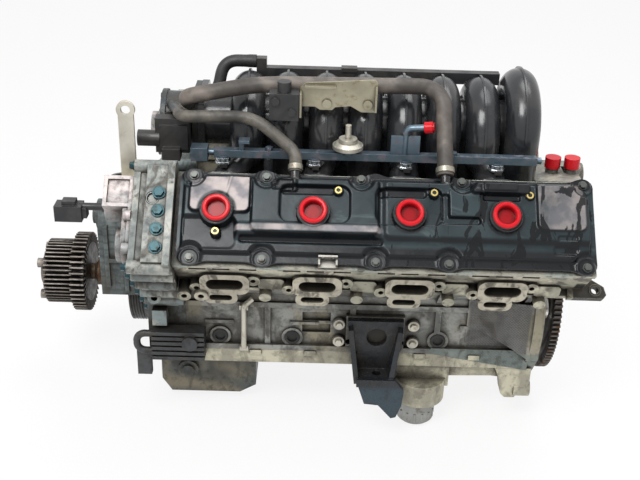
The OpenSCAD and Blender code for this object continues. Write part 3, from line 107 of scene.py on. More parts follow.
# Places for the finishes, in metres: an exhaust face's middle as Y and Z, the cosine and sine of its tilt,
# how far the first port is from the rear face, the banks' stagger, and half a port's length and height
PORT_FACE = (0.1967, 0.0949)
PORT_TILT = (0.9397, 0.3420)
PORT_START = 0.428
PORT_STAGGER = 0.009
PORT_HALF = (0.0250, 0.0195)
# The top of the rail that slopes along the block, and one square of the gusset's waffle
RAIL_TOP = -0.043
WAFFLE = 4.2 * MM

RUST = (0.16, 0.085, 0.045)

# Camera: degrees about the object, then its own roll; metres; millimetres of lens on a 36 mm sensor
CAMERA_AZIMUTH, CAMERA_ELEVATION, CAMERA_ROLL = -0.45, 27.16, 1.78
CAMERA_TARGET = (-0.3144, -0.080, 0.1039)
CAMERA_DISTANCE = 1.4
CAMERA_SENSOR = 36
CAMERA_LENS = 56.59875

# Lights: place, target, size in metres, power in watts; the level of the surroundings; the floor
KEY_LIGHT = ((-0.9, -1.3, 1.9), (-0.3, 0, 0.1), 1.0, 34)
TOP_LIGHT = ((0.2, 0.3, 2.0), (-0.3, 0, 0.2), 1.2, 20)
SURROUNDINGS = 0.45
FLOOR_REACH = 30.0
FLOOR_DROP = 0.002
FLOOR_GLOW = 0.86


# ---------------- settings


class EngineSizes(bpy.types.PropertyGroup):
    """Sizes of the pieces made here."""

    breather_radius: bpy.props.FloatProperty(
        name="Breather hose radius", description="Outer radius of the large breather hose",
        default=10.5 * MM, unit="LENGTH")
    vent_radius: bpy.props.FloatProperty(
        name="Vent hose radius", description="Outer radius of the small breather hose",
        default=8 * MM, unit="LENGTH")
    edge_round: bpy.props.FloatProperty(
        name="Cast edge radius", description="How far the castings' edges look rounded",
        default=1.6 * MM, unit="LENGTH")
    grain_depth: bpy.props.FloatProperty(
        name="Cast grain depth", description="Depth of the sand grain on the castings",
        default=0.35 * MM, unit="LENGTH")


class EngineColours(bpy.types.PropertyGroup):
    """Main colours of the finishes."""

    cast_pale: bpy.props.FloatVectorProperty(
        name="Clean casting", description="Bare cast alloy", subtype="COLOR",
        default=(0.58, 0.55, 0.43))
    cast_dark: bpy.props.FloatVectorProperty(
        name="Stained casting", description="Cast alloy under old oil", subtype="COLOR",
        default=(0.20, 0.19, 0.15))
    # Also laid in the castings' hollows, as grime with painted shade
    grime: bpy.props.FloatVectorProperty(
        name="Grime", description="Oil and dust in the corners", subtype="COLOR",
        default=(0.050, 0.042, 0.032))
    cover: bpy.props.FloatVectorProperty(
        name="Cam cover", description="Moulded cover, clean", subtype="COLOR",
        default=(0.007, 0.009, 0.011))
    cover_film: bpy.props.FloatVectorProperty(
        name="Cam cover film", description="Dried film on the cover's flat faces", subtype="COLOR",
        default=(0.026, 0.042, 0.048))
    cap: bpy.props.FloatVectorProperty(
        name="Shipping caps", description="Red caps over the openings", subtype="COLOR",
        default=(0.62, 0.010, 0.018))


# ---------------- node helpers


class Finish:
    """A new material, with short ways to add the nodes of its pattern."""

    def __init__(self, name, roughness=0.5, metallic=0.0, colour=(0.5, 0.5, 0.5)):
        self.material = bpy.data.materials.new(name)
        self.material.use_nodes = True
        self.tree = self.material.node_tree
        self.shader = self.tree.nodes["Principled BSDF"]
        self.set("Roughness", roughness)
        self.set("Metallic", metallic)
        self.set("Base Color", (*colour, 1))
        self.place = self.add("TexCoord").outputs["Object"]

    @classmethod
    def over(cls, material):
        """The same helpers for a material that is there already."""
        f = cls.__new__(cls)
        f.material = material
        f.tree = material.node_tree
        f.shader = f.tree.nodes["Principled BSDF"]
        f.place = f.add("TexCoord").outputs["Object"]
        return f

    def set(self, socket, value):
        """Puts a constant, or another node's output, on the shader's socket."""
        if isinstance(value, bpy.types.NodeSocket):
            self.tree.links.new(value, self.shader.inputs[socket])
        else:
            self.shader.inputs[socket].default_value = value

    def add(self, kind, inputs=None, **settings):
        """A node of this kind, with its settings, and its inputs set or linked."""
        node = self.tree.nodes.new("ShaderNode" + kind)
        for key, value in settings.items():
            setattr(node, key, value)
        for key, value in (inputs or {}).items():
            if isinstance(value, bpy.types.NodeSocket):
                self.tree.links.new(value, node.inputs[key])
            else:
                node.inputs[key].default_value = value
        return node

    def noise(self, scale, detail=4.0, roughness=0.55, distortion=0.0, place=None):
        """Cloudy values about 0.5, with this many clouds to the metre."""
        return self.add("TexNoise", {"Vector": place or self.place, "Scale": scale, "Detail": detail,
                                     "Roughness": roughness, "Distortion": distortion}).outputs["Fac"]

    def stretch(self, scale):
        """The object coordinates, scaled by axis."""
        return self.add("Mapping", {"Vector": self.place, "Scale": scale}).outputs["Vector"]

    def step(self, value, low, high, to_low=0.0, to_high=1.0):
        """A smooth step of value from low to high."""
        return self.add("MapRange", {"Value": value, "From Min": low, "From Max": high,
                                     "To Min": to_low, "To Max": to_high},
                        interpolation_type="SMOOTHSTEP").outputs["Result"]

    def maths(self, operation, a, b=0.0, c=0.0):
        """One operation on up to three values."""
        return self.add("Math", {0: a, 1: b, 2: c}, operation=operation).outputs["Value"]

    def mix(self, factor, a, b):
        """Colour a going to colour b."""
        a, b = [c if isinstance(c, bpy.types.NodeSocket) else (*c[:3], 1) for c in (a, b)]
        node = self.add("Mix", data_type="RGBA")
        for key, value in ((0, factor), (6, a), (7, b)):
            if isinstance(value, bpy.types.NodeSocket):
                self.tree.links.new(value, node.inputs[key])
            else:
                node.inputs[key].default_value = value
        return node.outputs[2]

    def axis(self, name):
        """One of the object coordinates."""
        return self.add("SeparateXYZ", {"Vector": self.place}).outputs[name]

    def crevice(self, distance=0.02):
        """1 in the open and 0 deep in a corner."""
        return self.add("AmbientOcclusion", {"Distance": distance}, samples=6).outputs["AO"]

    def attribute(self, name):
        """A value that the mesh carries at its vertices."""
        return self.add("Attribute", attribute_name=name).outputs["Fac"]

    def edges(self, radius):
        """1 on edges and 0 on flat faces: how far a rounded normal leans from the true one."""
        true = self.add("NewGeometry").outputs["Normal"]
        lean = self.add("VectorMath", {0: self.rounded(radius), 1: true}, operation="DOT_PRODUCT")
        return self.step(lean.outputs["Value"], 0.99, 0.86)

    def bank(self, name):
        """Place across a bank (towards the valley) or along its cylinders, from (z - |y|) and (z + |y|)."""
        side = self.maths("ABSOLUTE", self.axis("Y"))
        both = self.maths("ADD" if name == "along" else "SUBTRACT", self.axis("Z"), side)
        return self.maths("MULTIPLY", both, LEAN)

    def rounded(self, radius):
        """The normal with its edges rounded off."""
        return self.add("Bevel", {"Radius": radius}, samples=4).outputs["Normal"]

    def bump(self, height, depth, normal=None):
        """Bumps this deep, over another normal."""
        inputs = {"Height": height, "Distance": depth, "Strength": 1.0}
        if normal is not None:
            inputs["Normal"] = normal
        return self.add("Bump", inputs).outputs["Normal"]


def cast_metal(name, pale, dark, grime, roughness=0.55, metallic=0.25, cover=0.5, tint=None, stain=0.6,
               worn=0.5, extra=None):
    """Sand-cast metal: clouds of pale and stained metal, oil runs, bright edges, grime and painted shade in
    the hollows, a grainy skin.

    cover is how much grime and painted shade lie in the hollows, tint a third colour in wide patches, stain
    and worn how strong the oil runs and bright edges are, and extra adds a part's own marks, and on some
    parts painted shade, under all of them.
    """
    sizes = bpy.context.scene.engine_sizes
    f = Finish(name, roughness, metallic)
    clouds = f.noise(17, 7, 0.66, 0.6)
    speckle = f.noise(95, 5, 0.65)
    base = f.mix(f.step(clouds, 0.42, 0.58), pale, dark)
    if tint:
        base = f.mix(f.step(f.noise(7, 3, 0.5, 0.8), 0.47, 0.60), base, tint)
    if extra:
        base = extra(f, base)
    base = f.mix(f.step(speckle, 0.50, 0.72, 0, 0.6), base, [c * 0.40 for c in dark])
    runs = f.step(f.noise(34, 6, 0.64, 0.9, f.stretch((1, 1, 0.45))), 0.52, 0.62, 0, stain)
    base = f.mix(runs, base, [c * 1.2 for c in grime])
    bright = f.maths("MULTIPLY", f.edges(sizes.edge_round), worn)
    base = f.mix(bright, base, [min(1.0, c * 1.25) for c in pale])
    # Grime and painted shade in the hollows, broken up by noise
    open_air = f.crevice(0.03)
    shade = f.step(f.maths("MULTIPLY_ADD", f.noise(28, 4, 0.6), 0.55, open_air), 0.70, 1.15)
    base = f.mix(f.maths("MULTIPLY", f.maths("SUBTRACT", 1.0, shade), cover * 2), base, grime)
    # Painted shade: near black deep in the hollows and in the gaps between parts
    base = f.mix(f.step(open_air, 0.42, 0.14), base, (0.006, 0.005, 0.005))
    f.set("Base Color", base)
    f.set("Roughness", f.step(speckle, 0.3, 0.7, roughness - 0.12, roughness + 0.15))
    grain = f.maths("MULTIPLY_ADD", f.noise(900, 3, 0.7), 0.6, f.noise(240, 4, 0.6))
    grain = f.maths("MULTIPLY_ADD", clouds, 1.5, grain)
    f.set("Normal", f.bump(grain, sizes.grain_depth, f.rounded(sizes.edge_round)))
    return f.material


def plated_steel(name, colour, rust=RUST, roughness=0.38, rusted=0.35):
    """Plated or bare steel with fine streaks and spots of rust, and painted shade in its crevices."""
    f = Finish(name, roughness, 0.75)
    spots = f.step(f.noise(70, 6, 0.7), 0.60 - rusted * 0.2, 0.78 - rusted * 0.2)
    base = f.mix(f.step(f.noise(25, 4), 0.35, 0.7), colour, [c * 0.72 for c in colour])
    base = f.mix(f.maths("MULTIPLY", spots, min(1.0, rusted * 1.6)), base, rust)
    # Painted shade: darker in the crevices
    shade = f.step(f.crevice(0.008), 0.35, 0.85)
    f.set("Base Color", f.mix(shade, [c * 0.25 for c in colour], base))
    f.set("Roughness", f.step(spots, 0, 1, roughness, 0.75))
    f.set("Normal", f.bump(f.noise(500, 3), 0.08 * MM, f.rounded(0.6 * MM)))
    return f.material


def moulded_plastic(name, colour, roughness=0.45, dust_and_sheen=(0.16, 0.14, 0.12), dusty=0.25):
    """Black moulded plastic with a fine texture, dust and dull patches."""
    f = Finish(name, roughness, 0.0)
    film = f.step(f.noise(16, 5, 0.6, 0.6), 0.42, 0.70, 0, dusty)
    f.set("Base Color", f.mix(film, colour, dust_and_sheen))
    f.set("Roughness", f.step(f.noise(40, 4), 0.35, 0.7, roughness - 0.08, roughness + 0.14))
    f.set("Normal", f.bump(f.noise(1400, 2), 0.05 * MM, f.rounded(1 * MM)))
    f.set("Specular IOR Level", 0.5)
    return f.material


def rubber(name, colour, dust_and_sheen, dusty=0.5, roughness=0.55):
    """Hose rubber with clouds of dust, oily dark patches and a fine grain."""
    f = Finish(name, roughness, 0.0)
    film = f.step(f.noise(38, 5, 0.6, 0.5), 0.36, 0.66, 0, dusty)
    base = f.mix(film, colour, dust_and_sheen)
    oily = f.step(f.noise(10, 3, 0.5, 0.6), 0.50, 0.62, 0, 0.75)
    f.set("Base Color", f.mix(oily, base, [c * 0.30 for c in colour]))
    f.set("Roughness", f.step(f.noise(60, 3), 0.3, 0.7, roughness - 0.1, roughness + 0.1))
    f.set("Normal", f.bump(f.noise(700, 3), 0.10 * MM))
    return f.material


def cover_plastic(name, colours):
    """Glossy black cover: a thin teal film on its flats, a pale painted reflection, painted highlight and
    dust, and wet black smears at its rear.

    The mesh carries where the film lies, and where the painted reflection, painted highlight and dust lie, as
    cover_skin works them out.
    """
    f = Finish(name, 0.3, 0.0)
    film = f.maths("MULTIPLY", f.attribute("film"), f.step(f.noise(10, 5, 0.6, 1.2), 0.30, 0.62, 0.45, 1.0))
    base = f.mix(film, colours.cover, colours.cover_film)
    streaks = f.step(f.noise(26, 5, 0.6, 1.4, f.stretch((0.35, 1, 1))), 0.56, 0.70, 0, 0.45)
    base = f.mix(f.maths("MULTIPLY", streaks, f.attribute("film")), base, (0.105, 0.150, 0.155))
    # Painted reflection on the panel and painted highlight along the ridge, pale pink and grey, with dust on
    # the last pad
    dust_and_sheen = f.maths("MULTIPLY", f.attribute("dust_and_sheen"), f.step(f.noise(15, 5, 0.55, 0.9), 0.30, 0.56, 0.35, 1.0))
    sheen_and_dust_colour = f.mix(f.step(f.noise(34, 4), 0.4, 0.6), (0.52, 0.455, 0.44), (0.26, 0.245, 0.26))
    base = f.mix(dust_and_sheen, base, sheen_and_dust_colour)
    wet = f.step(f.noise(36, 5, 0.55, 1.6, f.stretch((1, 0.45, 0.45))), 0.575, 0.590)
    wet = f.maths("MULTIPLY", wet, f.step(f.axis("X"), -0.26, -0.22))
    base = f.mix(f.maths("MULTIPLY", wet, 0.92), base, (0.004, 0.005, 0.006))
    f.set("Base Color", base)
    rough = f.step(f.noise(22, 4), 0.3, 0.75, 0.26, 0.44)
    rough = f.maths("MULTIPLY_ADD", dust_and_sheen, 0.22, rough)
    f.set("Roughness", f.maths("SUBTRACT", rough, f.maths("MULTIPLY", wet, 0.18)))
    waves = f.maths("MULTIPLY_ADD", f.noise(30, 3), 1.0, f.maths("MULTIPLY", f.noise(420, 2), 0.05))
    f.set("Normal", f.bump(waves, 0.8 * MM))
    f.set("Coat Weight", 0.05)
    f.set("Coat Roughness", 0.14)
    f.set("Specular IOR Level", 0.24)
    return f.material


def gloss_plastic(name, colour):
    """Clean glossy moulding, a little uneven, with painted shade in its hollows."""
    f = Finish(name, 0.22, 0.0, colour)
    # Painted shade: darker in the hollows, as inside the caps
    shade = f.step(f.crevice(0.016), 0.45, 0.92)
    f.set("Base Color", f.mix(shade, [c * 0.28 for c in colour], colour))
    f.set("Normal", f.bump(f.noise(60, 2), 0.15 * MM, f.rounded(0.8 * MM)))
    f.set("Specular IOR Level", 0.22)
    return f.material


def block_metal(name, colours, sizes):
    """Block casting: as cast metal, with a fine waffle pattern on the gusset by the rear flange."""
    material = cast_metal(name, (0.36, 0.36, 0.335), (0.15, 0.15, 0.14), tuple(colours.grime),
                          tint=(0.33, 0.30, 0.22), extra=block_marks_and_shade)
    f = Finish.over(material)
    height = f.maths("MULTIPLY", f.maths("MAXIMUM", *waffle_waves(f)), gusset_place(f))
    cast_skin = f.shader.inputs["Normal"].links[0].from_socket
    f.set("Normal", f.bump(height, sizes.grain_depth, cast_skin))
    return material


def waffle_waves(f):
    """Sines along X and Z, with one wave to each square of the waffle."""
    turns = f.add("VectorMath", {0: f.place, "Scale": 2 * math.pi / WAFFLE}, operation="SCALE")
    split = f.add("SeparateXYZ", {"Vector": turns.outputs[0]})
    return f.maths("SINE", split.outputs["X"]), f.maths("SINE", split.outputs["Z"])


def gusset_place(f):
    """1 on the gusset's faces beside the rear flange."""
    along = f.maths("MULTIPLY", f.step(f.axis("X"), -0.104, -0.100), f.step(f.axis("X"), -0.016, -0.020))
    return f.maths("MULTIPLY", along, f.step(f.maths("ABSOLUTE", f.axis("Y")), 0.108, 0.112))


def block_marks_and_shade(f, base):
    """A waffled gusset darkened with painted shade, a grey-green film on the sloping rail, and old oil with
    painted shade on the block behind the bracket.
    """
    # The gusset's waffle, darkened with painted shade
    squares = f.step(f.maths("MULTIPLY", *waffle_waves(f)), -0.3, 0.5)
    grid = f.mix(squares, (0.060, 0.060, 0.060), (0.19, 0.19, 0.185))
    base = f.mix(f.maths("MULTIPLY", gusset_place(f), 0.85), base, grid)
    rail = f.maths("MULTIPLY", f.step(f.axis("X"), -0.158, -0.150),
                   f.step(f.axis("Z"), RAIL_TOP, RAIL_TOP - 0.003))
    base = f.mix(f.maths("MULTIPLY", rail, 0.7), base, (0.17, 0.215, 0.20))
    # Old oil with painted shade: near black on the block where it shows through the bracket's window
    low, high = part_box("left_mount_bracket")
    aside = f.maths("ABSOLUTE", f.maths("SUBTRACT", f.axis("X"), (low[0] + high[0]) / 2))
    behind = f.maths("MULTIPLY", f.step(aside, 0.034, 0.026), f.step(f.axis("Y"), -0.07, -0.08))
    behind = f.maths("MULTIPLY", behind, f.step(f.axis("Z"), high[2] - 0.004, high[2] - 0.010))
    return f.mix(f.maths("MULTIPLY", behind, 0.9), base, (0.010, 0.011, 0.014))


def ribbed_shade(f, base):
    """Darker bands between the shallow ribs of the pump housing."""
    rib_pitch = 11 * MM
    wave = f.maths("SINE", f.maths("MULTIPLY", f.axis("Z"), 2 * math.pi / rib_pitch))
    return f.mix(f.step(wave, 0.2, 0.9, 0, 0.55), base, (0.055, 0.066, 0.066))


def fan_back(f, base):
    """The fan coupling's back face is black with old oil."""
    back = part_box("fan_coupling")[1][0]
    return f.mix(f.step(f.axis("X"), back - 0.0016, back - 0.0006, 0, 0.92), base, (0.014, 0.012, 0.010))


def foot_film(f, base):
    """A blue-green film on the bracket's foot."""
    return f.mix(f.step(f.axis("Z"), -0.078, -0.088, 0, 0.85), base, (0.026, 0.052, 0.070))


def head_tints(f, base):
    """A grey-green film along the head's top edge, machined port faces, and soot with painted shade inside
    the ports.

    With c and s the cosine and sine of a port's tilt, and out and up the distances from its face's middle:
    depth = c out - s up, and rise = s out + c up. along is the distance from the nearest port's middle.
    """
    cosine, sine = PORT_TILT
    pitch = BORE_PITCH * MM
    top = f.step(f.bank("along"), 0.2455, 0.2475)
    base = f.mix(f.maths("MULTIPLY", top, 0.75), base, (0.36, 0.42, 0.39))
    out = f.maths("SUBTRACT", f.maths("ABSOLUTE", f.axis("Y")), PORT_FACE[0])
    up = f.maths("SUBTRACT", f.axis("Z"), PORT_FACE[1])
    depth = f.maths("SUBTRACT", f.maths("MULTIPLY", out, cosine), f.maths("MULTIPLY", up, sine))
    rise = f.maths("ADD", f.maths("MULTIPLY", out, sine), f.maths("MULTIPLY", up, cosine))
    stagger = f.maths("MULTIPLY", f.maths("SIGN", f.axis("Y")), PORT_STAGGER)
    shifted = f.maths("SUBTRACT", f.axis("X"), stagger)
    along = f.maths("WRAP", f.maths("ADD", shifted, PORT_START), pitch / 2, -pitch / 2)
    along = f.maths("ABSOLUTE", along)
    inside = f.maths("MULTIPLY", f.step(along, PORT_HALF[0], PORT_HALF[0] - 0.0005),
                     f.step(depth, -0.0008, -0.0040))
    beside = f.maths("ABSOLUTE", f.maths("ADD", rise, 0.0075))
    inside = f.maths("MULTIPLY", inside, f.step(beside, PORT_HALF[1], PORT_HALF[1] - 0.0005))
    faced = f.maths("MULTIPLY", f.step(depth, -0.0012, -0.0004), f.step(along, 0.045, 0.040))
    base = f.mix(f.maths("MULTIPLY", faced, 0.6), base, (0.52, 0.47, 0.38))
    # Soot and painted shade: near black inside the ports
    return f.mix(f.maths("MULTIPLY", inside, 0.96), base, (0.010, 0.008, 0.008))


# ---------------- surfaces


def mesh_object(name, points, faces):
    """A mesh object at the origin, riding on the engine's body, from points in millimetres."""
    mesh = bpy.data.meshes.new(name)
    mesh.from_pydata((np.asarray(points, float).reshape(-1, 3) * MM).tolist(), [], faces)
    mesh.update()
    obj = bpy.data.objects.new(name, mesh)
    bpy.context.scene.collection.objects.link(obj)
    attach(obj, "engine")
    return obj


def grid_faces(rows, columns):
    """Quads of a grid whose points run round each row in turn, the last column joined to the first."""
    i, j = np.meshgrid(np.arange(rows - 1), np.arange(columns), indexing="ij")
    a = i * columns + j
    b = i * columns + (j + 1) % columns
    return np.stack([a, b, b + columns, a + columns], -1).reshape(-1, 4).tolist()


def smooth(obj, material, angle=35):
    """Gives the object its material and shades it smooth, but for edges sharper than the angle."""
    obj.data.materials.append(material)
    obj.data.polygons.foreach_set("use_smooth", np.ones(len(obj.data.polygons), bool))
    obj.data.set_sharp_from_angle(angle=math.radians(angle))
    return obj


def turned(name, profile, centre, axis, material, sides=64, angle=35):
    """A profile (r, h) turned about an axis: p = centre + r (cos u a + sin u b) + h axis."""
    profile = np.asarray(profile, float)
    axis = np.asarray(axis, float) / np.linalg.norm(axis)
    across = np.cross(axis, [0.0, 0.0, 1.0] if abs(axis[2]) < 0.9 else [1.0, 0.0, 0.0])
    across /= np.linalg.norm(across)
    other = np.cross(axis, across)
    u = np.linspace(0, 2 * math.pi, sides, endpoint=False)[None, :, None]
    ring = np.cos(u) * across + np.sin(u) * other
    points = np.asarray(centre, float) + profile[:, 0, None, None] * ring + profile[:, 1, None, None] * axis
    obj = mesh_object(name, points, grid_faces(len(profile), sides))
    close_ends(obj)
    return smooth(obj, material, angle)


def close_ends(obj):
    """Merges a surface's poles and fills its open ends, then points every face outwards."""
    b = bmesh.new()
    b.from_mesh(obj.data)
    bmesh.ops.remove_doubles(b, verts=b.verts, dist=1e-7)
    bmesh.ops.dissolve_degenerate(b, edges=b.edges, dist=1e-7)
    open_edges = [e for e in b.edges if e.is_boundary]
    if open_edges:
        bmesh.ops.holes_fill(b, edges=open_edges, sides=0)
    bmesh.ops.recalc_face_normals(b, faces=b.faces)
    b.to_mesh(obj.data)
    b.free()


def rounded_route(points, radius, pieces=10):
    """The route through the points, each corner replaced by a curve (1-k)^2 a + 2k(1-k) p + k^2 b."""
    points = np.asarray(points, float)
    steps = np.diff(points, axis=0)
    lengths = np.linalg.norm(steps, axis=1)
    ways = steps / lengths[:, None]
    k = np.linspace(0, 1, pieces)[:, None]
    out = [points[:1]]
    for i in range(1, len(points) - 1):
        reach = min(radius * 1.6, lengths[i - 1] * 0.48, lengths[i] * 0.48)
        a = points[i] - ways[i - 1] * reach
        b = points[i] + ways[i] * reach
        out.append((1 - k) ** 2 * a + 2 * k * (1 - k) * points[i] + k**2 * b)
    out.append(points[-1:])
    return np.concatenate(out)


def evenly(route, gap):
    """The route at equal steps of about this gap."""
    far = np.concatenate([[0], np.cumsum(np.linalg.norm(np.diff(route, axis=0), axis=1))])
    at = np.linspace(0, far[-1], max(3, int(far[-1] / gap)))
    return np.stack([np.interp(at, far, route[:, k]) for k in range(3)], -1), at


def route_frames(route):
    """At each point, two directions across the route, both kept square to a line that it never follows."""
    tangent = np.gradient(route, axis=0)
    tangent /= np.linalg.norm(tangent, axis=1)[:, None]
    flat = np.linalg.svd(route - route.mean(0))[2][2]
    first = flat - (tangent @ flat)[:, None] * tangent
    first /= np.linalg.norm(first, axis=1)[:, None]
    return first, np.cross(tangent, first)


def end_swell(at, end):
    """How far a hose of this length swells over its nipples, at each distance from its start."""
    return 0.5 * smoothstep((12 - at) / 8) + 0.5 * smoothstep((at - end + 16) / 8)


def hose(name, points, bend, radius, material, sides=32):
    """A tube along a route c, swelling at its ends: p = c(t) + r(t) (cos u a + sin u b)."""
    route, at = evenly(rounded_route(points, bend), 2.0)
    a, b = route_frames(route)
    r = radius + end_swell(at, at[-1])
    u = np.linspace(0, 2 * math.pi, sides, endpoint=False)[None, :, None]
    around = np.cos(u) * a[:, None, :] + np.sin(u) * b[:, None, :]
    points = route[:, None, :] + r[:, None, None] * around
    obj = mesh_object(name, points, grid_faces(len(route), sides))
    close_ends(obj)
    return smooth(obj, material, 50)


def bank_point(x, y, s, side):
    """Points of the shared frame from a bank's own: along the crank, towards the valley, up the cylinders."""
    x, y, s = np.broadcast_arrays(*[np.asarray(v, float) for v in (x, y, s)])
    return np.stack([x, side * (y - s) * LEAN, (y + s) * LEAN], -1)


def plug_places(side):
    """Places of a bank's plugs along the crank, from the front one to the rear one."""
    return PLUG_X[side] - BORE_PITCH * np.arange(CYLINDERS - 1, -1, -1)


def smoothstep(t):
    """3t^2 - 2t^3, held to 0 and 1 outside."""
    t = np.clip(t, 0, 1)
    return t * t * (3 - 2 * t)


def pad(x, y, x0, x1, y0, y1, corner, edge):
    """1 on a rounded rectangle, falling smoothly to 0 across its edge."""
    qx = np.abs(x - (x0 + x1) / 2) - (x1 - x0) / 2 + corner
    qy = np.abs(y - (y0 + y1) / 2) - (y1 - y0) / 2 + corner
    away = np.hypot(np.maximum(qx, 0), np.maximum(qy, 0)) + np.minimum(np.maximum(qx, qy), 0) - corner
    return smoothstep(0.5 - away / edge)


def dot(x, y, cx, cy, radius, edge):
    """1 on a disc, falling smoothly to 0 across its edge."""
    return smoothstep(0.5 - (np.hypot(x - cx, y - cy) - radius) / edge)


# ---------------- cam covers

# Rows along the crank and points across
COVER_GRID = (500, 150)
# Millimetres: the flange's half width, its swelling at a bolt and its corners' radius, its rim, the discs
# that rise round tubes, inserts and bolts, and the plug tubes' walls
FLANGE_HALF, FLANGE_SWELL, FLANGE_CORNER = 58.0, 5.5, 9
RIM_FOOT, RIM_TOP, RIM_OUT = 0.15, 6.5, 0.6
COLLAR_R, CAP_HOLE_R = 21.5, 13.2
INSERT_R = 6.6
BOLT_SEAT_R, BOLT_SEAT = 10.5, 9.0
TUBE_R, TUBE_BORE_R = 18, 14.2


def cover_bolts(side):
    """Places of a cover's bolts, along the crank and towards the valley."""
    between = plug_places(side)[:-1] + BORE_PITCH / 2
    rows = {-55: (-2, 19, -10), 54: (0, 0, 8)}
    return [(x, y) for y, shift in rows.items()
            for x in (COVER_FRONT + 17, *(between + shift), COVER_REAR[side] - 13)]


def insert_places(side):
    """Places of the coils' inserts: outside the first plug, and behind each other one."""
    first, *others = plug_places(side)
    return [(first, PLUG_Y - 29)] + [(x + 31, PLUG_Y + 29) for x in others]


def cover_skin(x, y, side):
    """The skin's height over its base, where it is filmed, and where it has painted reflection, painted
    highlight and dust.

    The height is a sum of rounded pads, each with its own rise, then the largest or smallest of it and the
    collars, bosses and low corner. Film lies where the slope is small, but not in the gutters, groove and
    collar feet, which stay black as painted shade. A painted reflection lies on the panel and a painted
    highlight on the ridge, with dust on the last pad.
    """
    # Shoulder over the flange, and the first rise of the deck
    shift = PLUG_X[side] - PLUG_X[LEFT]
    ends = smoothstep((x - COVER_FRONT - 4) / 5) * smoothstep((COVER_REAR[side] - 6 - x) / 5)
    x = x - shift
    wall = smoothstep((y + 50.5) / 5) * smoothstep((56 - y) / 5) * ends
    ledge = 8 + 6.5 * wall
    deck = ledge + 4.6 * smoothstep((y + 34) / 12) * smoothstep((53 - y) / 6) * wall
    # Main deck behind the ridge, and the lower deck to its rear
    main = pad(x, y, -402, -243, -24, 70, 9, 4) * smoothstep((50 - y) / 4)
    deck = deck + 5.4 * main * wall
    rear = pad(x, y, -236, 60, -26, 70, 8, 8) * smoothstep((50 - y) / 4) * wall
    deck = deck + 3.4 * rear
    # Ridge with its groove
    ridge = pad(x, y, -422, -240, -25, -11, 6.6, 6)
    deck = deck + 2.8 * ridge
    groove = pad(x, y, -416, -238, -34, -26.5, 3, 4)
    deck = deck - 3.6 * groove
    # Panel behind the first plug, with shallow creases
    panel = pad(x, y, -480, -404, 2, 70, 8, 4) * smoothstep((51 - y) / 4) * wall
    crease = 0.9 * np.sin(x * 0.11 + 1.4 * np.sin(y * 0.09)) + 0.7 * np.sin(y * 0.17 + x * 0.05)
    fold = 1.4 * np.exp(-(((x + 440 - 0.25 * y) / 2.2) ** 2))
    fold = fold - 1.2 * np.exp(-(((x + 424 + 0.3 * y) / 6) ** 2))
    deck = deck + panel * (7.0 + crease + fold)
    # Recesses round the middle plugs, each with a gutter on its valley side, and the L beside the last
    hollow = np.zeros_like(x)
    for x0, x1 in ((-367, -279), (-247, -163)):
        deck = deck - 5.2 * pad(x, y, x0, x1, -9, 40, 12, 3)
        # Each gutter is kept bare of film, so it stays black as painted shade
        gutter = pad(x, y, x0 + 2, x1 - 20, 29, 39, 4, 3)
        deck = deck - 3.0 * gutter
        hollow = np.maximum(hollow, gutter)
    gutter = pad(x, y, -112, -66, 26, 34, 3, 3)
    deck = deck - 3.0 * gutter
    hollow = np.maximum(hollow, gutter)
    ell = np.maximum(pad(x, y, -160, -116, -6, 3, 4, 3), pad(x, y, -164, -155, -6, 33, 4, 3))
    deck = deck - 4.6 * ell
    deck = deck + 1.6 * pad(x, y, -155, -116, 3, 40, 4, 3)
    # Black block with its stepped top, and the pad behind the last plug
    block = pad(x, y, -126, -54, 34, 52, 3, 3)
    deck = deck + block * (7 + 2.5 * pad(x, y, -112, -70, 37, 47, 2, 2))
    back = pad(x, y, -45, 16, -12, 60, 9, 4) * wall
    deck = deck + 3.6 * back
    deck = deck - 2.4 * pad(x, y, -20, 4, -24, -18, 2, 3) - 2.0 * pad(x, y, -24, 6, -40, -30, 4, 5)
    # Tab at the hose
    tab = pad(x, y, -378, -346, 33, 52, 3, 2.5)
    deck = deck + 3.0 * tab - 3.6 * pad(x, y, -373, -351, 34, 46, 2, 2)
    x = x + shift

    # Low corner beside the first plug
    plugs = plug_places(side)
    low = pad(x, y, -496, plugs[0] + 24, -44, -3, 10, 6) * wall
    deck = deck * (1 - low) + np.minimum(deck, 13.5) * low
    for px in plugs:
        collar = 27.0 * dot(x, y, px, PLUG_Y, COLLAR_R, 3) + 1.5 * dot(x, y, px, PLUG_Y, COLLAR_R + 2.5, 5)
        deck = np.maximum(deck, collar) - 12.0 * dot(x, y, px, PLUG_Y, CAP_HOLE_R, 2)
        # The collar's foot is kept bare of film, so it stays black as painted shade
        hollow = np.maximum(hollow, dot(x, y, px, PLUG_Y, COLLAR_R + 3, 3))
    for cx, cy in insert_places(side):
        deck = np.maximum(deck, 25.6 * dot(x, y, cx, cy, INSERT_R, 2))
    # Bosses along both flanges, blended up into the shoulder
    for bx, by in cover_bolts(side):
        scallop = dot(x, y, bx, by * 0.93, 15, 7)
        deck = deck * (1 - scallop) + np.maximum(BOLT_SEAT, deck - BOLT_SEAT) * scallop
        seat = dot(x, y, bx, by, BOLT_SEAT_R, 3)
        deck = deck * (1 - seat) + BOLT_SEAT * seat
        lip = dot(x, y, bx, by, BOLT_SEAT_R + 3, 2.5) * (1 - dot(x, y, bx, by, BOLT_SEAT_R + 0.5, 2.5))
        deck = deck + 1.2 * lip
    deck = np.maximum(deck, 6.0)

    # Where the film lies, kept off the gutters, groove and collar feet, which stay black as painted shade,
    # and where the painted reflection, painted highlight and dust lie
    slope = np.hypot(*np.gradient(deck))
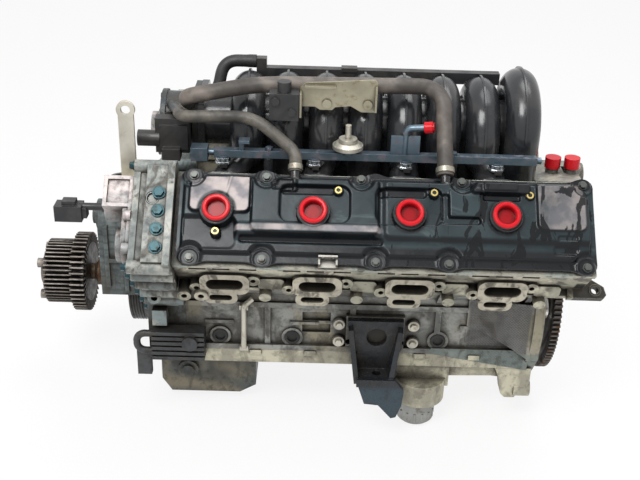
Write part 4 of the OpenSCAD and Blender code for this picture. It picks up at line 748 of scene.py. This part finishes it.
    # Film is kept off the gutters, collar feet and groove, which stay black as painted shade
    flat = smoothstep(1.0 - (slope - 0.25) / 0.7) * (1 - hollow) * (1 - block) * (1 - tab) * (1 - groove)
    film = flat * smoothstep((y + 40) / 5) * smoothstep((50 - y) / 5) * (1 - 0.9 * low)
    # Painted reflection on the panel, painted highlight along the ridge's top, dust on the last pad
    dust_and_sheen = np.maximum(panel * flat, 0.8 * smoothstep((y + 22) / 2) * smoothstep((-12 - y) / 3) * ridge)
    return deck, film, np.maximum(dust_and_sheen, 0.45 * back * flat)


def cover_edge(x, side):
    """Half width of the flange: a bell curve swells it at each bolt, and a quarter circle rounds its ends."""
    bumps = sum(np.exp(-(((x - bx) / 12) ** 2)) for bx, by in cover_bolts(side) if by < 0)
    ends = np.minimum(x - COVER_FRONT, COVER_REAR[side] - x)
    inset = np.maximum(0, FLANGE_CORNER - ends)
    corner = FLANGE_CORNER - np.sqrt(np.maximum(0, FLANGE_CORNER**2 - np.square(inset)))
    return FLANGE_HALF + FLANGE_SWELL * np.minimum(bumps, 1) - corner


def cam_cover(side, material):
    """A cover's skin, closed underneath: p = bank point of x(u), v times the half width, and height(x, y).

    u runs along the crank, a little closer set at the ends, and v from -1, the outer edge, to 1.
    """
    u = np.linspace(0, 1, COVER_GRID[0])
    u = 0.93 * u + 0.07 * (0.5 - 0.5 * np.cos(math.pi * u))
    v = np.linspace(-1, 1, COVER_GRID[1])
    x = (COVER_FRONT + (COVER_REAR[side] - COVER_FRONT) * u)[:, None]
    y = v[None, :] * cover_edge(x, side)
    x = x + np.zeros_like(y)
    height, film, dust_and_sheen = cover_skin(x, y, side)
    skin = COVER_S + height
    # The rim runs down both long edges: its foot clears the gasket face, and its top stands proud of the edge
    foot = np.full((len(u), 1), COVER_S + RIM_FOOT)
    top = np.full((len(u), 1), COVER_S + RIM_TOP)
    x = np.concatenate([x[:, :1], x[:, :1], x, x[:, -1:], x[:, -1:]], 1)
    y = np.concatenate([y[:, :1], y[:, :1] - RIM_OUT, y, y[:, -1:] + RIM_OUT, y[:, -1:]], 1)
    s = np.concatenate([foot, top, skin, top, foot], 1)
    name = SIDE_NAME[side] + "_cover_skin"
    obj = mesh_object(name, bank_point(x, y, s, side), grid_faces(*x.shape))
    for key, value in (("film", film), ("dust_and_sheen", dust_and_sheen)):
        layer = obj.data.attributes.new(key, "FLOAT", "POINT")
        layer.data.foreach_set("value", np.pad(value, ((0, 0), (2, 2))).ravel().astype(np.float32))
    close_ends(obj)
    smooth(obj, material, 60)
    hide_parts(SIDE_NAME[side] + "_cam_cover")


def plug_tubes(side, material):
    """Open tubes that stand out of the cover over its plug wells: a wall's profile turned about each."""
    foot = DECK_S - 20
    profile = [(TUBE_BORE_R, foot), (TUBE_R, foot), (TUBE_R, TUBE_S - 1), (TUBE_R - 0.8, TUBE_S),
               (15, TUBE_S), (TUBE_BORE_R, TUBE_S - 0.8), (TUBE_BORE_R, foot)]
    axis = bank_point(0, 0, 1, side)
    for i, x in enumerate(plug_places(side)):
        centre = bank_point(x, PLUG_Y, 0, side)
        turned(f"{SIDE_NAME[side]}_plug_tube_{i + 1}", profile, centre, axis, material)


def hose_nipples(side, material):
    """Barbed spigots on the valley side of a cover: one profile turned about each."""
    profile = [(0, 40), (9, 40), (9, 49), (8, 50.5), (6.5, 51), (6.5, 58), (6.9, 60), (6.4, 64),
               (6.4, 69), (6.0, 72), (4, 72), (4, 62), (0, 62)]
    axis = bank_point(0, 1, 0, side)
    for i, x in enumerate(NIPPLE_X[side]):
        centre = bank_point(x, 0, NIPPLE_S, side)
        turned(f"{SIDE_NAME[side]}_nipple_{i + 1}", profile, centre, axis, material, sides=40)


def rail_clips(side, material):
    """Bright clips that hold the injectors to the fuel rail: a profile turned in eight sides."""
    profile = [(9.3, -15), (10.6, -14.4), (10.6, -12), (9.6, -11), (9.6, -7), (10.6, -6.4), (10.6, -5.6),
               (9.3, -5.4), (9.3, -15)]
    for i, x in enumerate(plug_places(side)):
        centre = (x, side * FUEL_RAIL[0], FUEL_RAIL[1])
        name = f"{SIDE_NAME[side]}_rail_clip_{i + 1}"
        turned(name, profile, centre, (0, 0, 1), material, sides=8, angle=20)


def sensor_plugs(material):
    """Blanking cups in the spare sensor holes on the timing case's lobes: a cup's profile turned in each."""
    profile = [(0, -6), (8.9, -6), (8.9, -0.8), (8.2, -0.2), (7.2, -0.2), (6.6, -0.9), (6.2, -3.2), (0, -3.6)]
    for side, name in SIDE_NAME.items():
        centre = bank_point(*CASE_HOLE, CASE_S, side)
        axis = bank_point(0, 0, 1, side)
        turned(name + "_sensor_plug", profile, centre, axis, material, sides=48)


# ---------------- hoses


def nipple_route(x, y):
    """A place on the axis of one of the left cover's nipples."""
    return bank_point(x, y, NIPPLE_S, LEFT)


def nipple_clamp(name, x, y, radius, material):
    """A spring clamp on a hose of this radius, where it's pushed over one of the left cover's nipples."""
    axis = nipple_route(x, 1) - nipple_route(x, 0)
    spring_clamp(name, nipple_route(x, y), axis, radius + 0.5, material)


def breather_hose(material, clamp):
    """Large hose from the throttle neck over the arches and down to the left cover."""
    radius = bpy.context.scene.engine_sizes.breather_radius / MM
    neck = np.array([-494.5, -52, 292])
    points = [neck, neck + [0, -28, 16], (-400, -66, 323), nipple_route(REAR_NIPPLE, 187),
              nipple_route(REAR_NIPPLE, 61)]
    obj = hose("breather_hose_rubber", points, 22, radius, material)
    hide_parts("breather_hose")
    nipple_clamp("breather_clamp", REAR_NIPPLE, 68, radius, clamp)


def vent_hose(material, clamp):
    """Small hose from the throttle to the front of the left cover."""
    radius = bpy.context.scene.engine_sizes.vent_radius / MM
    start = np.array([-522.5, -24, 276.0])
    way = np.array([18.0, -50.0, 7.0])
    points = [start + way, start + way * 1.4, (-405, -95, 288), nipple_route(FRONT_NIPPLE, 88),
              nipple_route(FRONT_NIPPLE, 61)]
    obj = hose("vent_hose_rubber", points, 16, radius, material)
    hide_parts("pcv_hose")
    nipple_clamp("vent_clamp", FRONT_NIPPLE, 67, radius, clamp)


def spring_clamp(name, centre, axis, radius, material):
    """A flat spring band round a hose, a turned strip, with two ears that bend away from each other.

    An ear's middle line is centre + (radius + 0.4 + 7 t) out + (1.2 + 3.2 t^2) side, for t from 0 to 1.
    """
    width, thick, rows = 7.0, 1.1, 9
    profile = [(radius, -width / 2), (radius + thick, -width / 2), (radius + thick, width / 2),
               (radius, width / 2), (radius, -width / 2)]
    turned(name, profile, centre, axis, material, sides=48)
    axis = np.asarray(axis, float) / np.linalg.norm(axis)
    out = np.cross(axis, [1.0, 0.0, 0.0])
    out /= np.linalg.norm(out)
    side = np.cross(axis, out)
    across = axis * width * 0.32
    half_thick = side * 0.5
    t = np.linspace(0, 1, rows)[:, None]
    for k, letter in ((-1, "a"), (1, "b")):
        spine = np.asarray(centre) + out * (radius + 0.4 + 7 * t) + side * k * (1.2 + 3.2 * t**2)
        ring = np.stack([spine - across - half_thick, spine + across - half_thick,
                         spine + across + half_thick, spine - across + half_thick], 1)
        ear = mesh_object(f"{name}_ear_{letter}", ring, grid_faces(rows, 4))
        close_ends(ear)
        smooth(ear, material, 40)


def elbow_hose(material):
    """Rubber elbow from the throttle neck up to the vacuum gallery."""
    points = [(-462.5, 22, 284.4), (-454.5, 33, 323), (-409.3, 33, 323)]
    obj = hose("vacuum_elbow_rubber", points, 18, 8.5, material)
    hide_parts("vacuum_elbow")


# ---------------- stage


def camera():
    """Looks at the near side from a little above, turned slightly on its own axis."""
    azimuth, elevation, roll = [math.radians(v) for v in (CAMERA_AZIMUTH, CAMERA_ELEVATION, CAMERA_ROLL)]
    back = Vector((math.sin(azimuth) * math.cos(elevation), -math.cos(azimuth) * math.cos(elevation),
                   math.sin(elevation)))
    right = (-back).cross(Vector((0, 0, 1))).normalized()
    up = right.cross(-back).normalized()
    right, up = right * math.cos(roll) + up * math.sin(roll), up * math.cos(roll) - right * math.sin(roll)
    data = bpy.data.cameras.new("Camera")
    data.sensor_width, data.lens = CAMERA_SENSOR, CAMERA_LENS
    data.clip_start, data.clip_end = 0.05, 50
    cam = bpy.data.objects.new("Camera", data)
    bpy.context.scene.collection.objects.link(cam)
    place = Matrix.Translation(Vector(CAMERA_TARGET) + back * CAMERA_DISTANCE)
    cam.matrix_world = place @ Matrix((right, up, back)).transposed().to_4x4()
    bpy.context.scene.camera = cam


def area_light(name, place, target, size, power):
    """A square soft light aimed at a point."""
    data = bpy.data.lights.new(name, "AREA")
    data.size, data.energy = size, power
    lamp = bpy.data.objects.new(name, data)
    lamp.location = place
    lamp.rotation_euler = (Vector(target) - Vector(place)).to_track_quat("-Z", "Y").to_euler()
    bpy.context.scene.collection.objects.link(lamp)


def background_rays(tree):
    """1 for the rays that show the background: the camera's own, and glossy and clear ones."""
    rays = tree.nodes.new("ShaderNodeLightPath")
    seen = rays.outputs["Is Camera Ray"]
    for kind in ("Is Glossy Ray", "Is Transmission Ray"):
        larger = tree.nodes.new("ShaderNodeMath")
        larger.operation = "MAXIMUM"
        tree.links.new(seen, larger.inputs[0])
        tree.links.new(rays.outputs[kind], larger.inputs[1])
        seen = larger.outputs[0]
    return seen


def world(strength):
    """Pale surroundings, white to the camera and in what glossy and clear surfaces show of them."""
    w = bpy.data.worlds.new("Surroundings")
    w.use_nodes = True
    tree = w.node_tree
    ground = tree.nodes["Background"]
    ground.inputs["Color"].default_value = (1, 1, 1, 1)
    level = tree.nodes.new("ShaderNodeMix")
    level.inputs[2].default_value = strength
    level.inputs[3].default_value = 1.0
    tree.links.new(background_rays(tree), level.inputs[0])
    tree.links.new(level.outputs[0], ground.inputs["Strength"])
    bpy.context.scene.world = w


def floor(height):
    """A wide white floor that keeps a soft shadow."""
    mesh = bpy.data.meshes.new("floor")
    r = FLOOR_REACH
    mesh.from_pydata([(-r, -r, height), (r, -r, height), (r, r, height), (-r, r, height)], [], [(0, 1, 2, 3)])
    obj = bpy.data.objects.new("floor", mesh)
    bpy.context.scene.collection.objects.link(obj)
    f = Finish("floor_white", 0.9, 0.0, (1, 1, 1))
    glow = f.add("Emission", {"Color": (1, 1, 1, 1), "Strength": 1.0})
    share = f.maths("MULTIPLY", background_rays(f.tree), FLOOR_GLOW)
    both = f.add("MixShader")
    f.tree.links.new(share, both.inputs[0])
    f.tree.links.new(f.shader.outputs[0], both.inputs[1])
    f.tree.links.new(glow.outputs[0], both.inputs[2])
    f.tree.links.new(both.outputs[0], f.tree.nodes["Material Output"].inputs["Surface"])
    mesh.materials.append(f.material)


# ---------------- operators


class ENGINE_OT_stage(bpy.types.Operator):
    """Make the camera, the lights, the surroundings and the floor"""

    bl_idname = "engine.stage"
    bl_label = "Stage"

    def execute(self, context):
        context.scene.view_settings.view_transform = "Standard"
        camera()
        world(SURROUNDINGS)
        area_light("key_light", *KEY_LIGHT)
        area_light("top_light", *TOP_LIGHT)
        floor(CAD_BOX[0][2] - FLOOR_DROP)
        return {"FINISHED"}


def paint(nodes, material):
    """Gives the CAD nodes named in this text one material."""
    for name in nodes.split():
        data = NODES[name].data
        data.materials.clear()
        data.materials.append(material)


# Nodes, then their material's name, its pale and dark colours, and where it differs from cast_metal's own
CASTINGS = (
    ("timing_case", "case_casting", (0.37, 0.37, 0.335), (0.17, 0.19, 0.185),
     dict(tint=(0.24, 0.29, 0.29), stain=0.8)),
    ("left_cam_drive_cover right_cam_drive_cover", "drive_cover_casting", (0.60, 0.53, 0.51),
     (0.30, 0.31, 0.31), dict(stain=0.5)),
    ("pump_housing", "pump_casting", (0.150, 0.180, 0.175), (0.080, 0.095, 0.095),
     dict(extra=ribbed_shade)),
    ("upper_oil_pan", "pan_casting", (0.62, 0.59, 0.45), (0.37, 0.345, 0.27), dict(stain=0.4)),
    ("coolant_outlet", "outlet_casting", (0.46, 0.45, 0.38), (0.24, 0.24, 0.22), {}),
    ("throttle_body", "throttle_casting", (0.045, 0.055, 0.060), (0.020, 0.023, 0.026),
     dict(roughness=0.38, metallic=0.3, cover=0.3)),
    ("fan_coupling", "fan_casting", (0.40, 0.365, 0.33), (0.22, 0.19, 0.16),
     dict(grime=(0.035, 0.028, 0.022), roughness=0.5, metallic=0.45, cover=0.9, extra=fan_back)),
    ("crank_damper oil_cooler", "black_iron", (0.055, 0.057, 0.060), (0.028, 0.029, 0.031),
     dict(roughness=0.42, metallic=0.1, cover=0.4)),
    ("lower_oil_pan", "sump_paint", (0.085, 0.095, 0.088), (0.040, 0.045, 0.042),
     dict(roughness=0.42, metallic=0.1, cover=0.4, tint=(0.23, 0.20, 0.14))),
    ("left_mount_bracket", "bracket_paint", (0.016, 0.020, 0.026), (0.009, 0.011, 0.014),
     dict(roughness=0.30, metallic=0.0, cover=0.2, stain=0.2, worn=0.25, extra=foot_film)),
)


class ENGINE_OT_castings(bpy.types.Operator):
    """Finish the block, heads, cases, pans and painted iron as weathered castings"""

    bl_idname = "engine.castings"
    bl_label = "Castings"

    def execute(self, context):
        colours, sizes = context.scene.engine_colours, context.scene.engine_sizes
        pale, dark, grime = tuple(colours.cast_pale), tuple(colours.cast_dark), tuple(colours.grime)
        paint("cylinder_block", block_metal("block_casting", colours, sizes))
        paint("left_cylinder_head right_cylinder_head rear_seal_retainer",
              cast_metal("head_casting", pale, dark, grime, tint=(0.36, 0.35, 0.27), stain=0.8,
                         extra=head_tints))
        for nodes, name, pale, dark, settings in CASTINGS:
            paint(nodes, cast_metal(name, pale, dark, **{"grime": grime, **settings}))
        return {"FINISHED"}


# Nodes, then their material's name, colour and rust colour, its roughness and how rusted it is
STEEL_PARTS = (
    ("crankshaft crank_nose_bolt flexplate", "machined_steel", (0.42, 0.41, 0.39), RUST, 0.38, 0.35),
    ("ring_gear", "gear_steel", (0.13, 0.12, 0.11), RUST, 0.38, 0.6),
    ("fan_hub", "rusty_steel", (0.20, 0.155, 0.11), (0.13, 0.07, 0.04), 0.6, 1.0),
    ("flexplate_bolts drain_plug", "bolt_steel", (0.46, 0.50, 0.51), RUST, 0.38, 0.3),
    ("left_cover_bolts right_cover_bolts", "cover_bolt_steel", (0.10, 0.107, 0.10), RUST, 0.38, 0.3),
    ("timing_case_bolts", "case_bolt_steel", (0.030, 0.068, 0.078), (0.10, 0.12, 0.11), 0.38, 0.4),
    ("block_bolts lifting_strap fuel_damper coolant_tube", "pale_plating", (0.66, 0.63, 0.54),
     (0.38, 0.30, 0.18), 0.42, 0.3),
    ("cover_clip", "clip_steel", (0.30, 0.29, 0.26), RUST, 0.38, 0.5),
    ("left_head_gasket right_head_gasket", "gasket_steel", (0.25, 0.27, 0.28), RUST, 0.38, 0.35),
    ("left_fuel_rail right_fuel_rail", "rail_plating", (0.155, 0.215, 0.265), (0.20, 0.185, 0.21), 0.34, 0.6),
    ("purge_bracket", "yellow_plating", (0.40, 0.37, 0.27), (0.24, 0.18, 0.09), 0.34, 0.4),
    ("coil_inserts throttle_plate", "brass", (0.62, 0.47, 0.16), (0.35, 0.24, 0.08), 0.3, 0.2),
    ("oil_filter", "filter_paint", (0.40, 0.40, 0.38), (0.25, 0.22, 0.17), 0.45, 0.4),
)


class ENGINE_OT_steel_parts(bpy.types.Operator):
    """Finish the steel and brass parts, and make the sensor holes' cups and the rails' clips"""

    bl_idname = "engine.steel_parts"
    bl_label = "Steel parts"

    def execute(self, context):
        for nodes, *finish in STEEL_PARTS:
            paint(nodes, plated_steel(*finish))
        sensor_plugs(plated_steel("plug_plating", (0.16, 0.165, 0.155), rusted=0.4))
        clip = plated_steel("clip_plating", (0.62, 0.66, 0.70), rusted=0.15, roughness=0.25)
        for side in (LEFT, RIGHT):
            rail_clips(side, clip)
        return {"FINISHED"}


class ENGINE_OT_plastic_parts(bpy.types.Operator):
    """Finish the plastic and rubber parts and the caps"""

    bl_idname = "engine.plastic_parts"
    bl_label = "Plastic parts"

    def execute(self, context):
        red = tuple(context.scene.engine_colours.cap)
        paint("intake_manifold",
              moulded_plastic("intake_plastic", (0.020, 0.022, 0.025), 0.19, (0.11, 0.10, 0.095), 0.26))
        paint("vacuum_gallery throttle_motor cam_sensor purge_valve left_injectors right_injectors "
              "oil_filler_cap", moulded_plastic("black_plastic", (0.014, 0.015, 0.017), 0.40))
        paint("core_plugs",
              moulded_plastic("core_plug_paint", (0.006, 0.006, 0.006), 0.4, (0.10, 0.09, 0.07), 0.15))
        paint("left_tube_seals right_tube_seals",
              rubber("seal_rubber", (0.010, 0.010, 0.010), (0.05, 0.05, 0.05)))
        paint("left_well_caps right_well_caps fuel_inlet_cap outlet_caps", gloss_plastic("red_cap", red))
        return {"FINISHED"}


class ENGINE_OT_cam_covers(bpy.types.Operator):
    """Make both cam covers as moulded skins, with their plug tubes and nipples"""

    bl_idname = "engine.cam_covers"
    bl_label = "Cam covers"

    def execute(self, context):
        skin = cover_plastic("cover_plastic", context.scene.engine_colours)
        dark = moulded_plastic("tube_plastic", (0.010, 0.010, 0.011), 0.3)
        for side in (LEFT, RIGHT):
            cam_cover(side, skin)
            plug_tubes(side, dark)
            hose_nipples(side, dark)
        return {"FINISHED"}


class ENGINE_OT_hoses(bpy.types.Operator):
    """Make the moulded hoses and their clamps"""

    bl_idname = "engine.hoses"
    bl_label = "Hoses"

    def execute(self, context):
        clamp = plated_steel("clamp_steel", (0.42, 0.40, 0.33), rusted=0.4)
        dusty = rubber("breather_rubber", (0.090, 0.078, 0.068), (0.20, 0.170, 0.145), 0.8)
        breather_hose(dusty, clamp)
        vent_hose(rubber("vent_rubber", (0.055, 0.052, 0.046), (0.17, 0.15, 0.12), 0.7), clamp)
        elbow_hose(rubber("elbow_rubber", (0.022, 0.022, 0.023), (0.09, 0.085, 0.08), 0.5))
        return {"FINISHED"}


class ENGINE_PT_panel(bpy.types.Panel):
    """Lists the steps that dress the engine"""

    bl_label = "Engine"
    bl_idname = "ENGINE_PT_panel"
    bl_space_type = "VIEW_3D"
    bl_region_type = "UI"
    bl_category = "Engine"

    def draw(self, context):
        for group in (context.scene.engine_sizes, context.scene.engine_colours):
            for key in group.bl_rna.properties.keys():
                if key not in ("rna_type", "name"):
                    self.layout.prop(group, key)
        for step in STEPS:
            self.layout.operator(step.bl_idname)


STEPS = (ENGINE_OT_stage, ENGINE_OT_castings, ENGINE_OT_steel_parts, ENGINE_OT_plastic_parts,
         ENGINE_OT_cam_covers, ENGINE_OT_hoses)
CLASSES = (EngineSizes, EngineColours, *STEPS, ENGINE_PT_panel)


def register():
    """Registers the classes, and gives the scene its settings."""
    for item in CLASSES:
        bpy.utils.register_class(item)
    bpy.types.Scene.engine_sizes = bpy.props.PointerProperty(type=EngineSizes)
    bpy.types.Scene.engine_colours = bpy.props.PointerProperty(type=EngineColours)


def unregister():
    """Takes the settings and classes away again."""
    del bpy.types.Scene.engine_colours
    del bpy.types.Scene.engine_sizes
    for item in reversed(CLASSES):
        bpy.utils.unregister_class(item)


def main():
    """Registers the add-on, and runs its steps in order."""
    register()
    for step in STEPS:
        group, name = step.bl_idname.split(".")
        getattr(getattr(bpy.ops, group), name)()
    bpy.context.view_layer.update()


if __name__ == "__main__":
    main()
